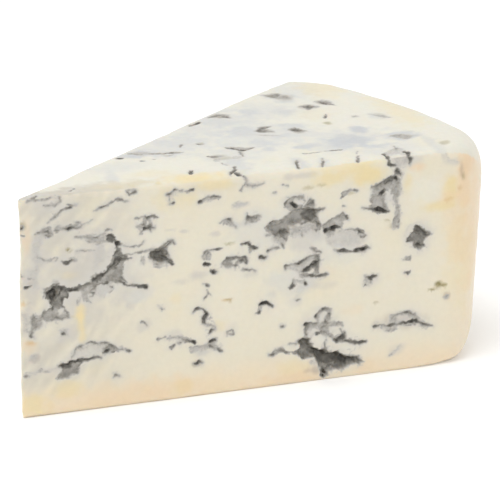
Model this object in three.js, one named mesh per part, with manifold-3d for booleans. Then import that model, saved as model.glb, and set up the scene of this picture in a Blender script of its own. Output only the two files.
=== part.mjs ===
// A wedge of blue cheese: a small wheel was halved flat, then two knife cuts took about a tenth of that half.
// Millimetres, +Z up. The near cut looks along -Y, the tip points along -X and the rind is at +X.
// All of it is worked out with the wheel's axis at x = 0, y = 0, and moved over its own footprint at the end.
import * as THREE from 'three';
import { mergeVertices } from 'three/addons/utils/BufferGeometryUtils.js';
import Module from 'manifold-3d';

const wasm = await Module();
wasm.setup();

// ---- driving dimensions ----
const WHEEL_RADIUS = 101.5;
const HEIGHT = 43.8; // rind below, flat cut above
const CUT_ANGLE = THREE.MathUtils.degToRad(36); // between the two knife cuts
const TOP_RIM = 8; // rounding of the rind's top edge
const FOOT_RIM = 6; // rounding of the rind's bottom edge
const WALL_LEAN = 3.4; // how far the rind's foot lies inside its top
const NEAR_ROLL = { along: 12, aside: 24 }; // the near cut rolls round into the rind over these lengths
const FAR_ROLL = { along: 9.7, aside: 14 }; // and the far cut over these
const CUT_EDGE = 0.9; // softened top edge of the cuts
const TIP_EDGE = 4.4; // the near cut's top edge is worn back this much more at the tip
const TIP_WEAR = 78; // and the wear dies out this far along the cut
const EDGE_DROP = 2.4; // the worn edge is rounded down no further than this
const TIP = 0.5; // the tip's upright edge, this far along from where the two cuts would meet
const CREASE_TOP = 7.9; // a narrow facet beside the tip reaches this far along at the top, and closes below
const GRID_START = -0.7; // the veins are measured along the near cut from here
const PIT_SINK = 0.25; // a pit's centre lies this share of its radius inside the face

// ---- fineness ----
const LEVELS = 20; // from the foot to the top
const WHEEL_SIDES = 144;
const FLAT_COLUMNS = 10; // along the flat of each cut
const ROLL_COLUMNS = 8; // round each roll into the rind
const PLUG_SIDES = 6;
const SPAN_STEPS = 2; // rings of a vein's plug from one pit to the next
const BEYOND = WHEEL_RADIUS + 20; // clear of the whole wheel

// Openings of the blue veins on the near cut, each a row of pits: [along the cut, height, radius].
const NEAR_VEINS = {
  tear: [[58, 9, 1], [60.5, 7, 1.5], [63.5, 5, 2], [66.5, 4.2, 1.4], [69.6, 3.2, 0.7]],
  tearLobe: [[63, 5, 1.4], [62.3, 2.3, 0.9]],
  tearShelf: [[57, 6.6, 0.7], [59.5, 5.8, 1]],
  tearLeft: [[51.4, 7.2, 0.5], [53.4, 7.8, 0.5], [56, 6.9, 0.4]],
  tearBrow: [[55.6, 8.9, 0.3], [58, 9.4, 0.7], [59, 12.2, 0.5]],
  tearRing: [[60.4, 13.8, 0.4], [62, 15, 0.5], [63.2, 14.2, 0.4], [62.4, 12.4, 0.5]],
  tearRight: [[64.4, 8.6, 0.6], [66.2, 8.3, 0.6], [70.5, 7.3, 0.4]],
  shadow: [[51.5, 32.6, 1], [54.5, 33.4, 1.4], [58, 34.3, 1.5], [60, 34.6, 1.2]],
  shadowLobe: [[53.6, 32, 1.3], [53, 29.6, 0.9], [51.4, 28.5, 0.4]],
  shadowTop: [[54.8, 37.4, 0.5], [57, 36.4, 0.5], [59.6, 36.6, 0.7]],
  shadowTail: [[61, 33.6, 0.7], [60.7, 31.2, 0.5]],
  sail: [[62.8, 31.3, 0.7], [64.8, 31.9, 0.8], [66.2, 32.9, 0.7]],
  loop: [[64.6, 26.7, 0.4], [66.5, 26.4, 0.6], [70.4, 26.2, 0.6]],
  loopTop: [[67, 30.9, 0.3], [69.8, 29.8, 0.5]],
  fin: [[55, 24.8, 0.4], [58.5, 25.4, 0.6], [60.3, 24.2, 1], [58.4, 23.2, 0.6]],
  finFoot: [[59.6, 22.3, 0.3], [62.3, 22.2, 0.4]],
  finDrops: [[55.6, 20.9, 0.6], [57, 21.2, 0.3], [58.4, 20.7, 0.6]],
  spill: [[77.4, 41, 0.6], [77.3, 37, 0.6], [77, 34, 0.5], [77.4, 31, 0.6]],
  spillArm: [[76.6, 39.8, 0.5], [73.8, 38.9, 0.5], [72.2, 38.2, 0.4]],
  spillBed: [[74, 37, 0.9], [75, 35, 0.9]],
  spillFoot: [[70.6, 34.4, 0.3], [73, 34.1, 0.6], [75.2, 33.5, 0.4]],
  star: [[79.6, 27, 0.7], [81.6, 27.5, 1.6], [83.8, 27.6, 0.7]],
  starArms: [[81.5, 29.2, 0.5], [81.9, 26.6, 1.2], [83, 24.9, 0.5]],
  arc: [[72.8, 10, 0.4], [76.6, 10.1, 0.7], [80.6, 10.4, 0.5], [84.8, 9, 0.4]],
  arcTop: [[76.6, 11.2, 0.5], [78.4, 11.9, 0.3], [80.8, 11.3, 0.4]],
  box: [[28, 30.6, 0.9], [29.2, 29.4, 1.3], [30.8, 28.7, 0.6]],
  boxHook: [[29.6, 31, 0.7], [30.8, 32.4, 0.5]],
  branch: [[21, 31, 0.8], [20.3, 29.2, 1.2], [18, 27.6, 1], [15.9, 26.9, 0.6]],
  branchBay: [[22.6, 30.1, 0.5], [21, 28, 1], [20.8, 26.4, 0.6]],
  branchTop: [[20.5, 33.2, 0.6], [19, 34.8, 0.6]],
  branchFoot: [[20.6, 25.8, 0.3], [23, 24.7, 0.3], [25.8, 24.2, 0.4]],
  bridge: [[10.4, 25.5, 0.4], [12.4, 25.4, 0.3], [14.6, 26.1, 0.4]],
  well: [[7.2, 25, 0.9], [7.9, 23.6, 1], [8.8, 25.2, 0.7]],
  wellFoot: [[8, 22.4, 0.9], [6.2, 21.5, 0.8], [9.4, 20.6, 0.6]],
  lowVein: [[9, 10.4, 0.6], [10.8, 9.6, 0.9], [12.6, 10.7, 0.5], [16, 11.2, 0.4]],
  hook: [[36.4, 18.3, 0.4], [38, 17.3, 0.6], [37.7, 15.8, 0.4], [39.4, 13.5, 0.4]],
  ledge: [[33.5, 12.7, 0.3], [35.8, 11.3, 0.5], [38.4, 10.9, 0.5], [40.6, 9.4, 0.4]],
  post: [[26.4, 37.6, 0.3], [26.4, 35.9, 0.7]],
  dash: [[9.9, 30.9, 0.4], [11.6, 31.1, 0.3]],
  bar: [[31.4, 42.3, 0.3], [35.2, 42.2, 0.3]],
  nib: [[38.4, 29.4, 0.4], [38.4, 27.1, 0.4], [39.8, 25.5, 0.4]],
  boot: [[46.2, 30.4, 0.4], [47.9, 29.3, 0.6]],
  oval: [[42.4, 27, 0.6], [44.6, 27.2, 0.6], [46, 26.8, 0.5]],
  roof: [[48.8, 16.3, 0.3], [49.9, 17.5, 0.4], [51.4, 17.1, 0.3]],
  crumb: [[70.8, 18.9, 0.3], [71.8, 20.2, 0.6], [73, 20.4, 0.3]],
};

// Openings on the top cut: [along the near cut, away from it, radius].
const TOP_VEINS = {
  nick: [[37, 5.4, 0.3], [37.4, 6.4, 0.3]],
  groove: [[49.2, 18, 0.6], [50.6, 16.4, 0.7], [52.8, 15.8, 0.4]],
  edgeNotch: [[44, 4.2, 0.5], [45.3, 5.8, 0.4]],
  overEdge: [[78.8, 5.8, 0.5], [77.9, 3.4, 0.7]],
  curl: [[60.2, 27.7, 0.5], [58.4, 26.1, 0.6], [58.4, 24.9, 0.4]],
  scoop: [[64.2, 24.3, 0.5], [66.4, 23.7, 0.5]],
  dimple: [[70.2, 44.9, 0.8], [71.4, 42.9, 0.5]],
};

// The far cut's openings wander, one from each cell of a loose grid that keeps clear of the tip and the rind.
const FAR_GRID = { along: [14, 84], height: [9, 40], cell: [14, 8] };
const FAR_PITS = 3; // in each vein
const FAR_RADIUS = [0.4, 1.3];

// ---- solids ----
function toSolid(geometry) {
  geometry.deleteAttribute('normal');
  geometry.deleteAttribute('uv');
  const merged = mergeVertices(geometry, 1e-5);
  return new wasm.Manifold(new wasm.Mesh({
    numProp: 3,
    vertProperties: new Float32Array(merged.attributes.position.array),
    triVerts: new Uint32Array(merged.index.array),
  }));
}

function toGeometry(solid) {
  const mesh = solid.getMesh();
  const geometry = new THREE.BufferGeometry();
  geometry.setAttribute('position', new THREE.BufferAttribute(mesh.vertProperties, 3));
  geometry.setIndex(new THREE.BufferAttribute(mesh.triVerts, 1));
  return geometry;
}

// A box of columns x 1 x rows cells, each corner of it then sent to place(column, row, isFace).
function warpedSlab(columns, rows, place) {
  const slab = new THREE.BoxGeometry(columns, 1, rows, columns, 1, rows);
  const corner = slab.attributes.position;
  for (let i = 0; i < corner.count; i++) {
    const column = Math.round(corner.getX(i) + columns / 2);
    const row = Math.round(corner.getZ(i) + rows / 2);
    corner.setXYZ(i, ...place(column, row, corner.getY(i) > 0));
  }
  return slab;
}

// ---- the half wheel ----
// How far a quarter-round of radius r falls back, past millimetres beyond where it starts.
function quarterRound(r, past) {
  const reach = THREE.MathUtils.clamp(past, 0, r);
  return r - Math.sqrt(r * r - reach * reach);
}

// How far the rind lies inside the wheel's full radius at height z.
function rindInset(z) {
  const lean = WALL_LEAN * THREE.MathUtils.clamp(1 - z / HEIGHT, 0, 1);
  return lean + quarterRound(TOP_RIM, z - (HEIGHT - TOP_RIM)) + quarterRound(FOOT_RIM, FOOT_RIM - z);
}

// The height of a level, crowded towards the edges, where the surface is rounded.
function levelHeight(level) {
  return (HEIGHT / 2) * (1 - Math.cos((Math.PI * level) / LEVELS));
}

function halfWheel() {
  const heights = Array.from({ length: LEVELS + 1 }, (_, level) => levelHeight(level));
  const wall = heights.map((z) => new THREE.Vector2(WHEEL_RADIUS - rindInset(z), z));
  const profile = [new THREE.Vector2(0, 0), ...wall, new THREE.Vector2(0, HEIGHT)];
  const wheel = new THREE.LatheGeometry(profile, WHEEL_SIDES);
  wheel.rotateX(Math.PI / 2);
  return toSolid(wheel);
}

// ---- the knife cuts ----
// How far the top edge of a cut is rounded back at height z, for a rounding that reaches back by reach.
function cutEdge(z, reach) {
  const drop = Math.min(reach, EDGE_DROP);
  return (reach / drop) * quarterRound(drop, z - (HEIGHT - drop));
}

// The waste side of one knife cut, laid along +X. The cheese is on its +Y side. The cut is flat but for the
// roll into the rind, the facet beside the tip, tipDepth back at the tip's upright edge, and its top edge.
function knifeWaste(roll, tipDepth, edgeWear) {
  const rollStart = WHEEL_RADIUS - roll.along;
  const place = (column, row, isFace) => {
    const z = row === 0 ? -5 : row === LEVELS + 2 ? HEIGHT + 5 : levelHeight(row - 1);
    const crease = THREE.MathUtils.lerp(TIP + 0.05, CREASE_TOP, THREE.MathUtils.clamp(z / HEIGHT, 0, 1));
    let x = THREE.MathUtils.mapLinear(column, 3, FLAT_COLUMNS, CREASE_TOP + 4, rollStart);
    let y = 0;
    if (column === 0) [x, y] = [-BEYOND, -10];
    if (column === 1) [x, y] = [TIP, tipDepth];
    if (column === 2) x = crease;
    const rolled = column - FLAT_COLUMNS;
    if (rolled > ROLL_COLUMNS) {
      [x, y] = [BEYOND, roll.aside + 1];
    } else if (rolled > 0) {
      const turn = (Math.PI / 2) * (rolled / ROLL_COLUMNS);
      x = rollStart + (roll.along - rindInset(z)) * Math.sin(turn);
      y = roll.aside - (roll.aside - cutEdge(z, CUT_EDGE)) * Math.cos(turn);
    } else {
      y += cutEdge(z, CUT_EDGE + edgeWear * THREE.MathUtils.clamp(1 - x / TIP_WEAR, 0, 0.85));
    }
    return [x, isFace ? y : -BEYOND, z];
  };
  return warpedSlab(FLAT_COLUMNS + ROLL_COLUMNS + 1, LEVELS + 2, place);
}

function nearWaste() {
  return knifeWaste(NEAR_ROLL, TIP * Math.tan(CUT_ANGLE), TIP_EDGE);
}

function farWaste() {
  const waste = knifeWaste(FAR_ROLL, 0, 0);
  waste.scale(1, -1, 1);
  waste.rotateZ(CUT_ANGLE);
  const index = waste.index; // the mirroring turned the faces inside out
  for (let i = 0; i < index.count; i += 3) {
    const first = index.getX(i);
    index.setX(i, index.getX(i + 1));
    index.setX(i + 1, first);
  }
  return waste;
}

// ---- the blue veins ----
// Each face gives the place of a point on it and the direction into the cheese.
const NEAR_FACE = {
  point: (along, z) => new THREE.Vector3(along + GRID_START, 0, z),
  inward: new THREE.Vector3(0, 1, 0),
};
const TOP_FACE = {
  point: (along, y) => new THREE.Vector3(along + GRID_START, y, HEIGHT),
  inward: new THREE.Vector3(0, 0, -1),
};
const FAR_FACE = {
  point: (along, z) => new THREE.Vector3(along * Math.cos(CUT_ANGLE), along * Math.sin(CUT_ANGLE), z),
  inward: new THREE.Vector3(Math.sin(CUT_ANGLE), -Math.cos(CUT_ANGLE), 0),
};

const CAP = Math.SQRT1_2;

// A straight plug of radius 1 with round ends, one unit of length for each ring.
function straightPlug(rings) {
  const wall = Array.from({ length: rings + 1 }, (_, i) => new THREE.Vector2(1, i));
  const start = [new THREE.Vector2(0, -1), new THREE.Vector2(CAP, -CAP)];
  const end = [new THREE.Vector2(CAP, rings + CAP), new THREE.Vector2(0, rings + 1)];
  return new THREE.LatheGeometry([...start, ...wall, ...end], PLUG_SIDES);
}

// The plug that opens a vein: the straight one, bent along its pits and swelling to each one's radius.
function veinPlug(vein, face) {
  const centres = vein.map(([a, b, radius]) => face.point(a, b).addScaledVector(face.inward, radius * PIT_SINK));
  const route = new THREE.CatmullRomCurve3(centres);
  const spans = vein.length - 1;
  const rings = spans * SPAN_STEPS;
  const geometry = straightPlug(rings);
  const corner = geometry.attributes.position;
  for (let i = 0; i < corner.count; i++) {
    const ring = THREE.MathUtils.clamp(corner.getY(i), 0, rings);
    const pit = Math.min(Math.floor(ring / SPAN_STEPS), spans - 1);
    const radius = THREE.MathUtils.lerp(vein[pit][2], vein[pit + 1][2], ring / SPAN_STEPS - pit);
    const ahead = route.getTangent(ring / rings);
    const aside = new THREE.Vector3().crossVectors(ahead, face.inward).normalize();
    const place = route.getPoint(ring / rings);
    place.addScaledVector(ahead, (corner.getY(i) - ring) * radius);
    place.addScaledVector(aside, corner.getX(i) * radius);
    place.addScaledVector(face.inward, corner.getZ(i) * radius);
    corner.setXYZ(i, place.x, place.y, place.z);
  }
  return toSolid(geometry);
}

// Gives numbers between 0 and 1, the same at every run.
function drawer(seed) {
  let state = seed;
  return () => {
    state = (Math.imul(state, 1664525) + 1013904223) >>> 0;
    return state / 4294967296;
  };
}

function farVein(along, height, draw) {
  const vein = [];
  let heading = 2 * Math.PI * draw();
  for (let pit = 0; pit < FAR_PITS; pit++) {
    vein.push([along, height, THREE.MathUtils.lerp(...FAR_RADIUS, draw() ** 2)]);
    heading += 1.6 * (draw() - 0.5);
    along += (1 + 2 * draw()) * Math.cos(heading);
    height += (0.6 + draw()) * Math.sin(heading);
  }
  return vein;
}

function farVeins() {
  const draw = drawer(7);
  const [width, tall] = FAR_GRID.cell;
  const veins = [];
  for (let along = FAR_GRID.along[0]; along < FAR_GRID.along[1]; along += width) {
    for (let height = FAR_GRID.height[0]; height < FAR_GRID.height[1]; height += tall) {
      veins.push(farVein(along + 0.6 * width * draw(), height + 0.6 * tall * (draw() - 0.5), draw));
    }
  }
  return veins;
}

// ---- the wedge ----
function largestPiece(solid) {
  return solid.decompose().reduce((best, piece) => (piece.volume() > best.volume() ? piece : best));
}

function wedge() {
  const plugs = [
    ...Object.values(NEAR_VEINS).map((vein) => veinPlug(vein, NEAR_FACE)),
    ...Object.values(TOP_VEINS).map((vein) => veinPlug(vein, TOP_FACE)),
    ...farVeins().map((vein) => veinPlug(vein, FAR_FACE)),
  ];
  const openings = plugs.reduce((all, piece) => all.add(piece));
  const block = halfWheel().subtract(toSolid(nearWaste())).subtract(toSolid(farWaste()));
  return largestPiece(block.subtract(openings));
}

const cheese = new THREE.Mesh(
  toGeometry(wedge()),
  new THREE.MeshStandardMaterial({ color: 0xe9e0c8, roughness: 0.5, metalness: 0 }),
);
cheese.name = 'cheese_wedge';
cheese.geometry.computeBoundingBox();
const middle = cheese.geometry.boundingBox.getCenter(new THREE.Vector3());
cheese.position.set(-middle.x, -middle.y, 0);

const group = new THREE.Group();
group.add(cheese);

export default group;
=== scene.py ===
"""A wedge of blue cheese: a carved solid with its paste, rind and mould, and a floor, a light and a camera.

The cheese is one closed mesh. It starts from the CAD wedge without its openings, as a distance field on a
fine grid. The veins of the near cut, the top and the far cut are drawn as maps in millimetres and carved
into the field, and the surface is then drawn back out of it. The same maps colour the surface.
"""

import math

import bmesh
import bpy
import numpy as np
import openvdb
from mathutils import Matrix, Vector


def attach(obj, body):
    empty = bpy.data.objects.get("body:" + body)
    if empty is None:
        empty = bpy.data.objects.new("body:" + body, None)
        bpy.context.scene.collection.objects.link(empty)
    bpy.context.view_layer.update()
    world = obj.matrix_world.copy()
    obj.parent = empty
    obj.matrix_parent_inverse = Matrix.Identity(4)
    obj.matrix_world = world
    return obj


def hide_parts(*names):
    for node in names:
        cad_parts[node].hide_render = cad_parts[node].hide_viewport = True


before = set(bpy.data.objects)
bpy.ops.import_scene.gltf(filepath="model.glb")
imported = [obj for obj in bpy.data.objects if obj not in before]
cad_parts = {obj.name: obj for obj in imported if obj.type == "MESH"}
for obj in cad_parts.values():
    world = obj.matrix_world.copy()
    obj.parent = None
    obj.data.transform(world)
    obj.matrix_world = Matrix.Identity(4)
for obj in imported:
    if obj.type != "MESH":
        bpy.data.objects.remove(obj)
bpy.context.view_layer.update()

MM = 0.001

# ---- the wedge, in millimetres, in the part's frame ----
HEIGHT = 43.8
WHEEL_AXIS = (-50.161, -27.565)  # the planes of the two upright cuts meet here
CUT_ANGLE = math.radians(36)  # between those planes
TIP = -49.6  # along X, where the wedge ends at its narrow end
EDGE_ROUND = 1.7  # radius of the near cut's top edge
EDGE_ROUND_FROM = (-42.0, -30.0)  # along X, the edge is sharp before this and round after it
ROLLS_FROM = (16.0, 26.0)  # along X, the flat cuts hand over to the CAD wedge's rolls here
FACETS_FROM = (32.0, 40.0)  # along X, the CAD wedge's facets are smoothed away beyond here
SOFTEN, SOFTEN_FACETS = 0.3, 1.5  # how far the smoothing reaches, everywhere and over those facets
SWELLS = ((7.0, 0.12, 21), (3.0, 0.05, 22), (1.3, 0.02, 23))  # the skin's unevenness: (width, height, seed)
SIDE_NOISE = 31  # seeds of the openings' wandering walls start here, and 10 further for the other direction
WANDER = 0.22  # how far an opening's wall strays sideways for each millimetre inward
RELIEF_REACH, TONE_REACH = 6.0, 6.5  # how deep below a cut its map still carves and colours
RIND_FROM = (82.0, 98.0)  # out from the wheel's axis, the paste turns into rind over this distance
RIND_BELOW = (8.5, 1.0)  # and over this height, down to the foot
FADE = (8.0, 2.0)  # below a cut, its own colours come in from the one to the other

# ---- the working grids, in millimetres ----
VOXEL = 0.24
BAND = 3.2  # the field is true this far either side of the surface
OUTSIDE = 3.0  # the distance taken for everywhere beyond the field
MARGIN = 8  # voxels left free round the wedge
MAP_STEP = 0.1
MAP_EDGE = 3.0  # a map goes this far past its cut
WINDOW = 2.5  # a line or an outline is drawn this far round its points
TRIANGLES = 190000
THIN_BELOW = 0.6  # corners under this height are thinned first

# ---- the floor, the light and the camera ----
FLOOR_REACH = 3.0  # metres
FLOOR_GLOW = 0.09
SKY = 0.84  # strength of the even light from all round
KEY_PLACE, KEY_TARGET = (-0.25, -0.15, 0.9), (0, 0, 0.02)  # metres
KEY_SIZE, KEY_WATTS = 0.55, 2.8
CAMERA_AZIMUTH, CAMERA_ELEVATION = math.radians(-20.39), math.radians(18.87)
CAMERA_TARGET = (6.86, 0.0, 18.34)  # millimetres
CAMERA_DISTANCE = 1.0  # metres
SENSOR_WIDTH, LENS = 36.0, 365.95

# ---- the drawing grids of the near cut and the top ----
# Where a grid lies in the part's frame: (start, per millimetre along, per millimetre up or away).
NEAR_X = (-50.474, 1.0006)
NEAR_Z = (-0.719, 0.0036, 1.0005)
TOP_X = (-51.03, 1.0044, 0.0007)
TOP_Y = (-28.6, 0.0105, 0.994)
TOP_START = -28.0  # TOP_X's last value counts from this Y
UPRIGHT_SIZE, TOP_SIZE = (102, 46), (98, 58)  # along, and up or away

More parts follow.
